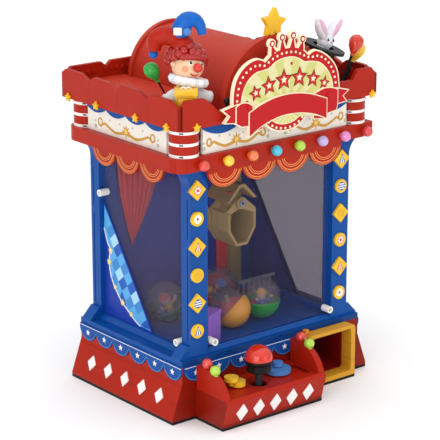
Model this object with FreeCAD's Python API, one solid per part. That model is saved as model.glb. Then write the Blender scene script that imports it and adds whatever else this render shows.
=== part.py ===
"""Toy circus claw machine, built from stud-and-tube bricks on an 8 mm grid.

Frame: millimetres, origin on the floor at the centre of the red base, +X to the player's right,
+Y to the rear, +Z up.  Each named piece is written to parts/NODE.step.
"""
import FreeCAD
import Part
import math
import os

V = FreeCAD.Vector

# ---------------------------------------------------------------- driving dimensions (mm)
STUD = 8.0
GAP = 0.3

BASE_X = 144.0            # half length of the base at the floor
BASE_Y = 96.0             # half depth of the base
BASE_KNEE = 130.0         # half length above the flare
KNEE_Z = 45.0
PLATE_TOP = 3.2
BASE_TOP = 64.0
WALL = 4.0

CONSOLE_X0, CONSOLE_X1 = -112.0, 32.0
CONSOLE_FRONT = -144.0
CONSOLE_LEAN = 7.0
CONSOLE_TOP = 36.0
CONSOLE_WALL = 3.2
CHEEK_TOP = 63.5

CHUTE_X0, CHUTE_X1 = 40.0, 112.0
CHUTE_FRONT = -112.0
CHUTE_TOP = 65.0
CHUTE_RIM = 6.4

DECK_TOP = 70.4
HOLE = (48.0, 102.0, 22.5, 69.5)      # prize hole in the deck: x0, x1, y0, y1

POST_X0, POST_X1 = 91.0, 115.0
POST_Y0, POST_Y1 = 76.0, 92.0
PANE = 2.0
SILL_TOP = 76.0
PIN_LOW, PIN_HIGH = 84.0, 224.0

BEAM_X, BEAM_Y = 140.0, 104.0
BEAM_BOTTOM, BEAM_TOP = 285.0, 301.0
BEAM_HOLE_X, BEAM_HOLE_Y = 100.0, 80.0
BEAM_EDGE_R = 2.0
LAMP_R = 6.0
CHEEK_LAMPS = ((-126.0, 64.5), (-112.0, 68.5))      # y and z of the lamp centres on each cheek

COLUMN_X, COLUMN_Y, COLUMN_R = 120.0, 88.0, 16.0
FRIEZE_TOP = 333.0
ROOF_TOP = 336.0
PARAPET_X, PARAPET_Y = 142.0, 108.0
PARAPET_TOP = 366.0
PARAPET_WALL = 5.0

VAULT_Z, VAULT_R, VAULT_WALL = 346.0, 57.4, 3.2
VAULT_FRONT, VAULT_REAR = -95.0, 92.0
FRONT_RIM_R = 70.0
REAR_RIM_R = 60.6
SIDE_DECK_TOP = 348.0
SIDE_DECK_FRONT = -52.0

SIGN_X, SIGN_FRONT, SIGN_BACK = -1.0, -117.0, -113.0

CLAW_Y = -20.0            # the claw hangs here at rest, on x = 0
CLAW_HALF_DEPTH = 20.5
AXLE_Z, AXLE_R = 215.0, 4.0
JAW_BOTTOM, JAW_TOP = 165.0, 205.0
JAW_WALL = 3.2
MAST_HALF, MAST_TOP = 4.0, 316.0
RACK_PITCH = 3.2
RAIL_Z0, RAIL_Z1 = 287.0, 293.0

YELLOW_CRANK = (-72.0, -121.0)
BLUE_CRANK = (-11.0, -117.0)
CRANK_SHAFT_R = 4.0
RUNNING_FIT = 0.08        # radial clearance of the turning shafts
STICK = (-48.0, -128.0)
STICK_PIVOT_Z = 25.0
STICK_OPENING_R = 10.2
PIVOT_BORE_R = 1.65       # bores for the gimbal's 1.6 mm pins
BALL_R = 16.0

CAPSULE_R = 22.5
HEAD = V(-101.2, -71.2, 393.1)
HEAD_R = 17.5
FACE_TURN = -96.0         # the clown looks to the front
HORN_TURN = -45.0         # the two horns of the hat spread along this direction


# ---------------------------------------------------------------- small builders
def box(x0, x1, y0, y1, z0, z1):
    return Part.makeBox(x1 - x0, y1 - y0, z1 - z0, V(x0, y0, z0))


def rod(radius, start, end):
    run = end - start
    return Part.makeCylinder(radius, run.Length, start, run)


def cone(r0, r1, start, end):
    run = end - start
    return Part.makeCone(r0, r1, run.Length, start, run)


def ball(radius, centre):
    return Part.makeSphere(radius, centre)


def slab(normal, low, high, start, *steps):
    """Extrude an outline along an axis.  A step is a point, or (middle, end) for an arc."""
    def place(point):
        a, b = point
        if normal == "x":
            return V(low, a, b)
        if normal == "y":
            return V(a, low, b)
        return V(a, b, low)

    here = place(start)
    first = here
    edges = []
    for step in steps:
        if isinstance(step[0], tuple):
            end = place(step[1])
            edges.append(Part.Arc(here, place(step[0]), end).toShape())
        else:
            end = place(step)
            edges.append(Part.makeLine(here, end))
        here = end
    if (here - first).Length > 1e-6:
        edges.append(Part.makeLine(here, first))
    reach = high - low
    along = {"x": V(reach, 0, 0), "y": V(0, reach, 0), "z": V(0, 0, reach)}[normal]
    return Part.Face(Part.Wire(edges)).extrude(along)


def join(*shapes):
    whole = shapes[0].fuse(list(shapes[1:]))
    return whole.removeSplitter()


def mirror_x(shape):
    return shape.mirror(V(0, 0, 0), V(1, 0, 0))


def mirror_y(shape):
    return shape.mirror(V(0, 0, 0), V(0, 1, 0))


def four_corners(shape):
    pair = [shape, mirror_x(shape)]
    return pair + [mirror_y(piece) for piece in pair]


def turned(shape, centre, axis, degrees):
    copy = shape.copy()
    copy.rotate(centre, axis, degrees)
    return copy


def save(node, *solids):
    shape = solids[0] if len(solids) == 1 else Part.makeCompound(list(solids))
    shape.exportStep("parts/" + node + ".step")


def scallops(normal, low, high, start, width, count, top, neck, depth):
    """A hanging strip whose lower edge is a row of round scallops."""
    steps = [(start, neck)]
    for index in range(count):
        left = start + index * width
        steps.append(((left + width / 2, neck - depth), (left + width, neck)))
    steps.append((start + count * width, top))
    return slab(normal, low, high, (start, top), *steps)


def star(normal, low, high, centre, radius, tilt=0.0, inner=0.5):
    points = []
    for index in range(10):
        reach = radius if index % 2 == 0 else radius * inner
        angle = math.radians(90 + tilt + 36 * index)
        points.append((centre[0] + reach * math.cos(angle), centre[1] + reach * math.sin(angle)))
    return slab(normal, low, high, points[0], *points[1:])


# ---------------------------------------------------------------- base
def flare(inset, bottom, top):
    foot = BASE_X - inset
    side = BASE_KNEE - inset
    return slab("y", -BASE_Y + inset, BASE_Y - inset,
                (-foot, bottom), (foot, bottom), (foot, 6.0), (side, KNEE_Z), (side, top),
                (-side, top), (-side, KNEE_Z), (-foot, 6.0))


def base_plate():
    return join(box(-BASE_X, BASE_X, -BASE_Y, BASE_Y, 0, PLATE_TOP),
                box(CONSOLE_X0, CONSOLE_X1, CONSOLE_FRONT, -BASE_Y, 0, PLATE_TOP),
                box(CHUTE_X0, CHUTE_X1, CHUTE_FRONT, -BASE_Y, 0, PLATE_TOP))


def base_shell():
    hollow = flare(WALL, PLATE_TOP - 1, BASE_TOP + 1)
    doorway = box(CHUTE_X0 + CHUTE_RIM, CHUTE_X1 - CHUTE_RIM, -BASE_Y - 1, -BASE_Y + WALL + 1,
                  PLATE_TOP - 1, CHUTE_TOP - CHUTE_RIM + 2.5)
    return flare(0.0, PLATE_TOP, BASE_TOP).cut([hollow, doorway])


def console_outline(inset, x0, x1):
    front = CONSOLE_FRONT + inset
    lean = front - CONSOLE_LEAN
    rear = -BASE_Y + (1 if inset else 0)
    floor = PLATE_TOP - (1 if inset else 0)
    return slab("x", x0, x1, (rear, floor), (front, floor), (front, 6.0),
                (lean, CONSOLE_TOP - inset - 4.0), (lean + 3.0, CONSOLE_TOP - inset),
                (rear, CONSOLE_TOP - inset))


def console_shell():
    hollow = console_outline(CONSOLE_WALL, CONSOLE_X0 + CONSOLE_WALL, CONSOLE_X1 - CONSOLE_WALL)
    holes = [hollow]
    crank_bore = CRANK_SHAFT_R + RUNNING_FIT
    for centre, radius in ((YELLOW_CRANK, crank_bore), (BLUE_CRANK, crank_bore), (STICK, STICK_OPENING_R)):
        holes.append(rod(radius, V(centre[0], centre[1], CONSOLE_TOP - 8),
                         V(centre[0], centre[1], CONSOLE_TOP + 2)))
    holes.append(box(14.0, 18.0, -137.0, -112.0, CONSOLE_TOP - 8, CONSOLE_TOP + 2))
    shell = console_outline(0.0, CONSOLE_X0, CONSOLE_X1).cut(holes)
    ears = []
    for side in (-1, 1):
        y = STICK[1] + side * 14.5
        ear = box(STICK[0] - 3, STICK[0] + 3, y - 1.5, y + 1.5, STICK_PIVOT_Z - 3,
                  CONSOLE_TOP - CONSOLE_WALL)
        ears.append(ear)
    pivot = V(STICK[0], STICK[1], STICK_PIVOT_Z)
    bore = rod(PIVOT_BORE_R, pivot - V(0, 20, 0), pivot + V(0, 20, 0))
    return join(shell, *ears).cut(bore)


def console_cheeks():
    cheeks = []
    front = CONSOLE_FRONT - CONSOLE_LEAN + 3.5
    rear = -BASE_Y - 2.0
    for x0 in (CONSOLE_X0, CONSOLE_X1 - STUD):
        reach = rear - front
        rise = CHEEK_TOP - CONSOLE_TOP
        middle = (front + reach * 0.27, CONSOLE_TOP + rise * 0.70)
        cheeks.append(slab("x", x0, x0 + STUD, (rear, CONSOLE_TOP), (front, CONSOLE_TOP),
                           (middle, (rear - 6.0, CHEEK_TOP)), (rear, CHEEK_TOP)))
    return cheeks


def rhombus(x, z, half_width, half_height):
    """A diamond tile, flat in XZ with its back on y = 0 and its face on y = -1.2."""
    return slab("y", -1.2, 0.0, (x - half_width, z), (x, z - half_height), (x + half_width, z),
                (x, z + half_height))


def diamond_tiles():
    tiles = []
    rise = CONSOLE_TOP - 10.0
    lean = math.degrees(math.atan2(CONSOLE_LEAN, rise))
    for index in range(5):
        tile = rhombus(-88.0 + 24.0 * index, 12.5, 8.0, 11.0)
        tile.rotate(V(0, 0, 0), V(1, 0, 0), lean)
        tile.translate(V(0, CONSOLE_FRONT - 0.02, 6.0))
        tiles.append(tile)
    slope = math.degrees(math.atan2(BASE_X - BASE_KNEE, KNEE_Z - 6.0))
    for index in range(5):
        tile = rhombus(0.0, 19.0, 7.5, 9.0)
        tile.rotate(V(0, 0, 0), V(1, 0, 0), -slope)
        tile.rotate(V(0, 0, 0), V(0, 0, 1), -90)
        tile.translate(V(-BASE_X - 0.02, -64.0 + 32.0 * index, 6.0))
        tiles.append(tile)
        tiles.append(mirror_x(tile))
    return tiles


def chute_frame():
    outer = box(CHUTE_X0, CHUTE_X1, CHUTE_FRONT, -BASE_Y, PLATE_TOP, CHUTE_TOP)
    outer = outer.makeFillet(5.0, [edge for edge in outer.Edges
                                   if edge.Length < 17 and edge.CenterOfMass.z > CHUTE_TOP - 1])
    x0, x1 = CHUTE_X0 + CHUTE_RIM, CHUTE_X1 - CHUTE_RIM
    z0, z1 = PLATE_TOP + 5.8, CHUTE_TOP - 4.5
    inner = box(x0, x1, CHUTE_FRONT - 1, -BASE_Y + 1, z0, z1)
    inner = inner.makeFillet(4.0, [edge for edge in inner.Edges
                                   if abs(edge.Length - 18) < 0.01 and edge.CenterOfMass.y < -90])
    skirt = box(CHUTE_X0 - 1, CHUTE_X1 + 1, -BASE_Y - 3, -BASE_Y + 1, BASE_TOP, CHUTE_TOP + 1)
    return outer.cut([inner, skirt])


def prize_ramp():
    """The sloping slide from under the prize hole to the mouth of the chute, with side walls."""
    x0, x1 = CHUTE_X0 + CHUTE_RIM, CHUTE_X1 - CHUTE_RIM
    slope = slab("x", x0, x1, (-BASE_Y, 6.5), (78.0, 43.0), (78.0, 46.0), (-BASE_Y, 9.5))
    walls = []
    for x in (x0, x1 - 1.6):
        walls.append(slab("x", x, x + 1.6, (-BASE_Y, 6.5), (78.0, 43.0), (78.0, BASE_TOP - GAP),
                          (-88.0, BASE_TOP - GAP), (-88.0, 60.5), (-BASE_Y, 60.5)))
    stop = box(x0, x1, 76.4, 78.0, 43.0, BASE_TOP - GAP)
    return join(slope, stop, *walls)


def coin_slot():
    rim = box(12.6, 19.4, -138.6, -110.4, CONSOLE_TOP, CONSOLE_TOP + 0.8)
    throat = box(14.0, 18.0, -137.0, -112.0, CONSOLE_TOP - 12, CONSOLE_TOP)
    slot = box(15.0, 17.0, -136.0, -113.0, CONSOLE_TOP - 13, CONSOLE_TOP + 2)
    return join(rim, throat).cut(slot)


# ---------------------------------------------------------------- controls
def crank_knob(centre, bearing, throw, disc_r, grip_r, grip_z):
    """A crank: a hub, a round disc and a grip that stands off the axis by throw."""
    x, y = centre
    angle = math.radians(bearing)
    px = x + throw * math.cos(angle)
    py = y + throw * math.sin(angle)
    disc_z = CONSOLE_TOP + 1.6
    hub = rod(6.0, V(x, y, CONSOLE_TOP + GAP), V(x, y, disc_z))
    disc = rod(disc_r, V(x, y, disc_z), V(x, y, grip_z - 1.0))
    post = rod(3.2, V(px, py, disc_z + 1.0), V(px, py, grip_z))
    grip = rod(grip_r, V(px, py, grip_z), V(px, py, grip_z + 4.8))
    return join(disc, hub, post, grip)


def crank_shaft(centre):
    x, y = centre
    shaft = rod(CRANK_SHAFT_R, V(x, y, 10.0), V(x, y, CONSOLE_TOP + GAP))
    drum = rod(6.5, V(x, y, 14.0), V(x, y, 24.0))
    flange_low = rod(8.5, V(x, y, 12.4), V(x, y, 14.0))
    flange_high = rod(8.5, V(x, y, 24.0), V(x, y, 25.6))
    return join(shaft, drum, flange_low, flange_high)


def stick_gimbal():
    x, y = STICK
    z = STICK_PIVOT_Z
    ring = rod(12.0, V(x, y, z - 3), V(x, y, z + 3)).cut(rod(9.0, V(x, y, z - 4), V(x, y, z + 4)))
    pins = [rod(1.6, V(x, y - 16, z), V(x, y - 10.5, z)), rod(1.6, V(x, y + 10.5, z), V(x, y + 16, z))]
    bore = rod(PIVOT_BORE_R, V(x - 13, y, z), V(x + 13, y, z))
    return join(ring, *pins).cut(bore)


def stick_shaft():
    x, y = STICK
    z = STICK_PIVOT_Z
    stem = rod(4.0, V(x, y, z - 8), V(x, y, 55.0))
    pin = rod(1.6, V(x - 12, y, z), V(x + 12, y, z))
    return join(stem, pin)


def stick_dish():
    x, y = STICK
    lower = cone(9.0, BALL_R, V(x, y, 55.0), V(x, y, 62.0))
    upper = rod(BALL_R, V(x, y, 62.0), V(x, y, 65.0))
    return join(lower, upper)


def stick_ball():
    x, y = STICK
    dome = ball(BALL_R, V(x, y, 65.0))
    return dome.common(box(x - 20, x + 20, y - 20, y + 20, 65.0, 90.0))


# ---------------------------------------------------------------- deck, posts and windows
def deck():
    plate = box(-BASE_KNEE, BASE_KNEE, -BASE_Y, BASE_Y, BASE_TOP, DECK_TOP)
    hole = box(HOLE[0], HOLE[1], HOLE[2], HOLE[3], BASE_TOP - 1, DECK_TOP + 1)
    return plate.cut(hole)


def skirt():
    neck, depth = 58.0, 12.0
    side = scallops("x", -BASE_KNEE - 1.6, -BASE_KNEE, -96.0, 32.0, 6, BASE_TOP, neck, depth)
    front = scallops("y", -BASE_Y - 1.6, -BASE_Y, -128.0, 32.0, 5, BASE_TOP, neck, depth)
    rear = scallops("y", BASE_Y, BASE_Y + 1.6, -128.0, 32.0, 8, BASE_TOP, neck, depth)
    return [side, mirror_x(side), front, rear]


def post():
    """The rear right post, with its sloping foot and the curved bracket under the beam."""
    bar = box(POST_X0, POST_X1, POST_Y0, POST_Y1, DECK_TOP, BEAM_BOTTOM)
    foot = slab("y", POST_Y0, POST_Y1, (POST_X1, DECK_TOP), (BASE_KNEE, DECK_TOP),
                (BASE_KNEE, DECK_TOP + 1.6), (POST_X1 + 3, DECK_TOP + 14), (POST_X1, DECK_TOP + 14))
    reach = 22.0
    low = BEAM_BOTTOM - reach
    far = POST_X1 + reach
    bend = reach * (1 - math.sqrt(0.5))
    bracket = slab("y", POST_Y0, POST_Y1, (POST_X1, low),
                   ((POST_X1 + bend, BEAM_BOTTOM - bend), (far, BEAM_BOTTOM)), (POST_X1, BEAM_BOTTOM))
    whole = join(bar, foot, bracket)
    slots = []
    for z0, z1 in ((88.0, 196.0), (206.0, 250.0)):
        slots.append(box(POST_X1 - 1.5, POST_X1 + 1, POST_Y1 - 6, POST_Y1 - 4.4, z0, z1))
    return whole.cut(slots)


def sills():
    front = slab("x", -POST_X0, POST_X0, (-92.0, DECK_TOP), (-80.0, DECK_TOP), (-80.0, SILL_TOP),
                 (-88.0, SILL_TOP), (-92.0, DECK_TOP + 1.6))
    side = slab("y", -POST_Y0, POST_Y0, (-118.0, DECK_TOP), (-102.0, DECK_TOP), (-102.0, SILL_TOP),
                (-112.0, SILL_TOP), (-118.0, DECK_TOP + 1.6))
    return [front, side, mirror_x(side)]


def side_window():
    return box(-108.0, -108.0 + PANE, -POST_Y0, POST_Y0, SILL_TOP, BEAM_BOTTOM)


def window_pins():
    """Short white tubes that hold the clear sheets in place."""
    pins = []
    for x in (-85.0, 85.0):
        outer = rod(4.0, V(x, -98.0, PIN_LOW), V(x, -86.0, PIN_LOW))
        pins.append(outer.cut(rod(2.4, V(x, -99.0, PIN_LOW), V(x, -90.0, PIN_LOW))))
    for y, z in ((69.0, PIN_HIGH), (-71.0, PIN_LOW)):
        outer = rod(4.0, V(-120.0, y, z), V(-108.0, y, z))
        pin = outer.cut(rod(2.4, V(-121.0, y, z), V(-112.0, y, z)))
        pins.append(pin)
        pins.append(mirror_x(pin))
    return pins


def side_panels():
    panel = slab("x", -109.4, -108.0, (POST_Y0, SILL_TOP), (-15.0, SILL_TOP), (POST_Y0, 213.0))
    return [panel, mirror_x(panel)]


def picket_fence():
    """Two wings that meet in a corner and wall off the prize hole."""
    x, y, top = 44.0, 20.0, 96.0
    pieces = []
    for z in (74.0, top - 4.0):
        pieces.append(box(x, x + 2, y, 78.0, z, z + 4))
        pieces.append(box(x, 101.8, y, y + 2, z, z + 4))
    for index in range(7):
        pieces.append(box(x, x + 2, y + STUD * index, y + STUD * index + 3, DECK_TOP, top - 2))
    for index in range(1, 7):
        pieces.append(box(x + STUD * index, x + STUD * index + 3, y, y + 2, DECK_TOP, top - 2))
    return join(*pieces)


def curtains():
    """A pleated strip beside the rear column, and a pointed swag on the back wall."""
    pleats = [rod(2.4, V(61.0 + 3.4 * index, 79.2, DECK_TOP + 4), V(61.0 + 3.4 * index, 79.2, 262.0))
              for index in range(4)]
    strip = join(box(58.4, 73.4, 79.4, 82.0, DECK_TOP + 4, 262.0), *pleats)
    swag = slab("y", 78.0, 82.0, (-92.0 + 4, 262.0), (-68.0, 150.0), (-28.0, 236.0), (-24.0, 262.0))
    return [strip, swag]


def yellow_tiles():
    tiles = []
    for x in (-107.0, 101.5):
        for index in range(6):
            z = 101.0 + 32.0 * index
            if index % 2 == 0:
                tile = rod(7.9, V(x, -POST_Y1 - 3.2, z), V(x, -POST_Y1, z))
            else:
                tile = slab("y", -POST_Y1 - 3.2, -POST_Y1, (x - 11.2, z), (x, z - 11.2), (x + 11.2, z),
                            (x, z + 11.2))
            tiles.append(tile)
    return tiles


# ---------------------------------------------------------------- beam and frieze
def beam():
    """A box frame: round left corners that follow the columns, and nearly square right ones."""
    outer = box(-BEAM_X, BEAM_X, -BEAM_Y, BEAM_Y, BEAM_BOTTOM, BEAM_TOP)
    for side, radius in ((-1, COLUMN_R), (1, BEAM_EDGE_R)):
        corners = [edge for edge in outer.Edges if edge.CenterOfMass.x * side > BEAM_X - 1
                   and abs(edge.CenterOfMass.y) > BEAM_Y - 1]
        outer = outer.makeFillet(radius, corners)
    hole = box(-BEAM_HOLE_X, BEAM_HOLE_X, -BEAM_HOLE_Y, BEAM_HOLE_Y, BEAM_BOTTOM - 1, BEAM_TOP + 1)
    return outer.cut(hole)


def lamp(centre, neck_from):
    """A ball lamp with the short neck that plugs it in."""
    return join(ball(LAMP_R, centre), rod(3.0, neck_from, centre))


def lamps():
    bulbs = []
    z = 292.0
    for index in range(8):
        x = -110.0 + 33.7 * index
        bulbs.append(lamp(V(x, -BEAM_Y - LAMP_R - 0.2, z), V(x, -BEAM_Y, z)).cut(beam()))
    for x in (CONSOLE_X0 + STUD / 2, CONSOLE_X1 - STUD / 2):
        for y, z in CHEEK_LAMPS:
            bulbs.append(lamp(V(x, y, z), V(x, y, z - 12.0)).cut(console_cheeks()))
    return bulbs


def drapes():
    """Swagged red drapes that hang under the beam on every side."""
    top, neck, depth = BEAM_BOTTOM, 277.0, 17.0
    front = scallops("y", -99.0, -96.0, -96.0, 48.0, 4, top, neck, depth)
    side = scallops("x", -123.0, -120.0, -56.0, 44.0, 3, top, neck, depth)
    return [front, mirror_y(front), side, mirror_x(side)]


def column_cores():
    bands = []
    x, y = COLUMN_X, COLUMN_Y
    cores = [rod(COLUMN_R - 4, V(x, y, BEAM_TOP), V(x, y, FRIEZE_TOP))]
    for z0, z1 in ((304.2, 313.8), (317.0, 326.6), (329.8, FRIEZE_TOP)):
        bands.append(rod(COLUMN_R, V(x, y, z0), V(x, y, z1)))
    return four_corners(join(*cores, *bands))


def column_rings():
    rings = []
    x, y = COLUMN_X, COLUMN_Y
    for z0, z1 in ((BEAM_TOP, 304.2), (313.8, 317.0), (326.6, 329.8)):
        ring = rod(COLUMN_R + 0.4, V(x, y, z0), V(x, y, z1))
        rings.append(ring.cut(rod(COLUMN_R - 3.9, V(x, y, z0 - 1), V(x, y, z1 + 1))))
    return [corner for ring in rings for corner in four_corners(ring)]


def frieze_panels():
    front = box(-103.0, 103.0, -99.0, -95.0, BEAM_TOP, FRIEZE_TOP)
    side = box(-131.0, -127.0, -72.0, 72.0, BEAM_TOP, FRIEZE_TOP)
    return [front, mirror_y(front), side, mirror_x(side)]


def frieze_valance():
    front = scallops("y", -100.6, -99.0, -104.0, 52.0, 4, FRIEZE_TOP, 329.0, 8.0)
    side = scallops("x", -132.6, -131.0, -72.0, 36.0, 4, FRIEZE_TOP, 329.0, 6.0)
    return [front, mirror_y(front), side, mirror_x(side)]


# ---------------------------------------------------------------- roof
def parapet():
    """Four low walls of overlapping panels, with chamfered tops and open corners."""
    walls = []
    inner = PARAPET_X - PARAPET_WALL
    panel = 53.0
    outline = []
    for index in range(4):
        far = 106.0 - panel * index
        low, high = (361.0, PARAPET_TOP) if index % 2 == 0 else (360.0, PARAPET_TOP - 1)
        outline += [(far, low), (far - 8, high), (far - 36, high - 1), (far - panel, low - 3)]
    left = slab("x", -PARAPET_X, -inner, (106.0, FRIEZE_TOP), *outline, (-106.0, FRIEZE_TOP))
    walls += [left, mirror_x(left)]
    front = slab("y", -PARAPET_Y, -PARAPET_Y + PARAPET_WALL, (-inner, FRIEZE_TOP), (-inner, 359.0),
                 (-inner + 5, 365.0), (-107.0, 364.0), (-98.0, 357.0), (-86.0, 346.0),
                 (60.0, 346.0), (68.0, 354.0), (104.0, 354.0), (111.0, 365.0), (inner - 5, 365.0),
                 (inner, 359.0), (inner, FRIEZE_TOP))
    rear_outline = [(-inner, 360.0)]
    width = 2 * inner / 5
    for index in range(5):
        near = -inner + width * index
        rear_outline += [(near + 7, PARAPET_TOP), (near + width - 7, PARAPET_TOP), (near + width, 360.0)]
    rear = slab("y", PARAPET_Y - PARAPET_WALL, PARAPET_Y, (-inner, FRIEZE_TOP), *rear_outline,
                (inner, FRIEZE_TOP))
    return walls + [front, rear]


def roof_deck():
    """The flat roof inside the parapet, with a raised deck on both sides of the vault."""
    inner_x, inner_y = PARAPET_X - PARAPET_WALL, PARAPET_Y - PARAPET_WALL
    floor = box(-inner_x, inner_x, -inner_y, inner_y, FRIEZE_TOP, ROOF_TOP)
    side = box(VAULT_R + GAP, inner_x, SIDE_DECK_FRONT, inner_y, ROOF_TOP, SIDE_DECK_TOP)
    side = side.cut(arch(REAR_RIM_R + GAP, VAULT_REAR - 6 - GAP, VAULT_REAR + GAP, FRIEZE_TOP))
    return join(floor, side, mirror_x(side))


def star_studs():
    """Small yellow stars with a round nose along the foot of the parapet."""
    studs = []
    z = 334.5
    for x in (-119.0, 133.0):
        body = star("y", -PARAPET_Y - 2.4, -PARAPET_Y, (x, z), 5.2)
        studs.append(join(body, rod(1.5, V(x, -PARAPET_Y - 3.4, z), V(x, -PARAPET_Y - 2.4, z))))
    for y in (93.0, 39.5, -33.0, -88.0):
        body = star("x", -PARAPET_X - 2.4, -PARAPET_X, (y, z), 5.2)
        stud = join(body, rod(1.5, V(-PARAPET_X - 3.4, y, z), V(-PARAPET_X - 2.4, y, z)))
        studs += [stud, mirror_x(stud)]
    return studs


def arch(radius, y0, y1, bottom):
    return slab("y", y0, y1, (-radius, bottom), (-radius, VAULT_Z),
                ((0, VAULT_Z + radius), (radius, VAULT_Z)), (radius, bottom))


def vault():
    """The half-round roof, with an end wall and a broader rim at each end."""
    shell = arch(VAULT_R, VAULT_FRONT + 8, VAULT_REAR - 6, ROOF_TOP)
    front = arch(FRONT_RIM_R, VAULT_FRONT, VAULT_FRONT + 8, ROOF_TOP)
    rear = arch(REAR_RIM_R, VAULT_REAR - 6, VAULT_REAR, ROOF_TOP)
    hollow = arch(VAULT_R - VAULT_WALL, VAULT_FRONT + 11.2, VAULT_REAR - 9.2, ROOF_TOP - 1)
    return join(shell, front, rear).cut(hollow)


def sign_board():
    """Marquee board: an arched top with a four-point crown, a ribbon across it and a round foot."""
    right = [((20.0, 404.0), (28.0, 397.0)), ((39.0, 398.5), (52.0, 394.0)),
             ((68.0, 381.0), (75.0, 353.0)), (89.0, 348.0), (81.0, 342.5), (87.0, 335.0),
             (73.0, 335.0), (72.0, 328.0), (56.0, 319.0), (30.0, 322.0)]
    points = []
    for step in right:
        if isinstance(step[0], tuple):
            points.append(((SIGN_X + step[0][0], step[0][1]), (SIGN_X + step[1][0], step[1][1])))
        else:
            points.append((SIGN_X + step[0], step[1]))
    body = slab("y", SIGN_FRONT, SIGN_BACK, (SIGN_X, 403.0), *points, (SIGN_X + 30.0, 330.0),
                (SIGN_X, 330.0))
    other = body.mirror(V(SIGN_X, 0, 0), V(1, 0, 0))
    foot = slab("y", SIGN_FRONT, SIGN_BACK, (SIGN_X - 31.0, 331.0),
                ((SIGN_X, 313.5), (SIGN_X + 31.0, 331.0)))
    spikes = []
    for x, z in ((-22.5, 413.0), (-7.5, 419.0), (7.5, 419.0), (22.5, 413.0)):
        centre = SIGN_X + x
        spikes.append(rod(4.6, V(centre, SIGN_FRONT, z), V(centre, SIGN_BACK, z)))
        spikes.append(slab("y", SIGN_FRONT, SIGN_BACK, (centre - 6.0 - x * 0.15, 396.0),
                           (centre + 6.0 - x * 0.15, 396.0), (centre + 2.0, z), (centre - 2.0, z)))
    board = join(body, other, foot, *spikes)
    arms = []
    for x in (SIGN_X - 56.0, SIGN_X + 56.0):
        arms.append(box(x - 4, x + 4, SIGN_BACK, -PARAPET_Y, 337.0, 345.0))
    return join(board, *arms)


def roof_star():
    tip = V(4.0, -87.0, 428.0)
    body = star("y", tip.y - 3.2, tip.y + 3.2, (tip.x, tip.z), 17.0, tilt=-6.0, inner=0.55)
    stub = rod(3.9, V(0.0, tip.y, VAULT_Z + FRONT_RIM_R - 0.2), V(1.0, tip.y, 421.0))
    return join(body, stub).cut(arch(FRONT_RIM_R, VAULT_FRONT, VAULT_FRONT + 10, ROOF_TOP))


def along(start, direction, reach):
    return start + direction * reach


HAT_RIM = V(88.0, -74.0, 387.0)
HAT_AXIS = V(0.253, -0.205, 0.9455)


def top_hat():
    """An upturned top hat: brim, tapering crown, and the hollow that the rabbit looks out of."""
    brim = rod(25.5, HAT_RIM, along(HAT_RIM, HAT_AXIS, 3.2))
    crown = cone(18.0, 15.5, along(HAT_RIM, HAT_AXIS, -30.0), HAT_RIM)
    hollow = rod(12.5, along(HAT_RIM, HAT_AXIS, -24.0), along(HAT_RIM, HAT_AXIS, 4.0))
    foot = rod(7.0, V(80.0, -67.5, FRIEZE_TOP), along(HAT_RIM, HAT_AXIS, -29.0))
    return join(brim, crown, foot).cut([hollow, roof_deck()])


def rabbit():
    """A plain toy rabbit that looks out of the hat, with two long ears."""
    base = along(HAT_RIM, HAT_AXIS, -23.9)
    neck = along(HAT_RIM, HAT_AXIS, 2.0)
    head = along(HAT_RIM, HAT_AXIS, 7.0)
    body = rod(8.0, base, neck)
    ears = []
    for lean, reach in ((V(-0.42, -0.1, 0.9), 24.0), (V(0.55, -0.1, 0.82), 24.0)):
        root = along(head, lean, 5.0)
        tip = along(head, lean, reach)
        ears.append(join(cone(2.2, 3.6, root, tip), ball(3.6, tip)))
    return join(body, ball(9.5, head), *ears)


def balloon(centre, foot, stick_r):
    run = foot - centre
    reach = run.Length
    down = V(run.x / reach, run.y / reach, run.z / reach)
    round_top = ball(8.5, centre)
    taper = cone(7.6, 1.8, along(centre, down, 3.8), along(centre, down, 14.5))
    stick = rod(stick_r, along(centre, down, 12.0), along(foot, down, 1.0))
    return join(round_top, taper, stick).cut(roof_deck())


def balloons():
    return [balloon(V(-126.0, -40.0, 386.0), V(-102.0, -40.0, SIDE_DECK_TOP), 1.6),
            balloon(V(124.6, -90.0, 392.0), V(98.0, -90.0, ROOF_TOP), 1.6),
            balloon(V(137.0, -80.0, 380.5), V(109.0, -80.0, ROOF_TOP), 1.6)]


# ---------------------------------------------------------------- clown figure
def in_front(reach, height, turn=FACE_TURN):
    """A point ahead of the clown's head by reach, and above its centre by height."""
    angle = math.radians(turn)
    return V(HEAD.x + reach * math.cos(angle), HEAD.y + reach * math.sin(angle), HEAD.z + height)


def clown_body():
    torso = cone(13.5, 10.5, V(-102.3, -69.0, ROOF_TOP), V(-102.3, -69.0, 372.0))
    sleeves = []
    for start, end in ((V(-94.0, -72.0, 359.6), V(-82.0, -78.0, 357.0)),
                       (V(-112.0, -66.0, 359.6), V(-123.0, -65.0, 357.0))):
        sleeves.append(join(ball(8.0, start), cone(8.0, 6.5, start, end), ball(6.5, end)))
    return join(torso, *sleeves)


def clown_collar():
    low = V(HEAD.x + 0.5, HEAD.y - 0.5, 372.0)
    high = V(HEAD.x + 0.5, HEAD.y - 0.5, 379.0)
    return rod(19.0, low, high).cut([ball(HEAD_R + GAP, HEAD), gift_box(GAP)])


def clown_head():
    """A plain doll head with a round nose."""
    nose = ball(4.8, in_front(HEAD_R + 1.0, -1.0))
    return join(ball(HEAD_R, HEAD), nose)


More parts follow.
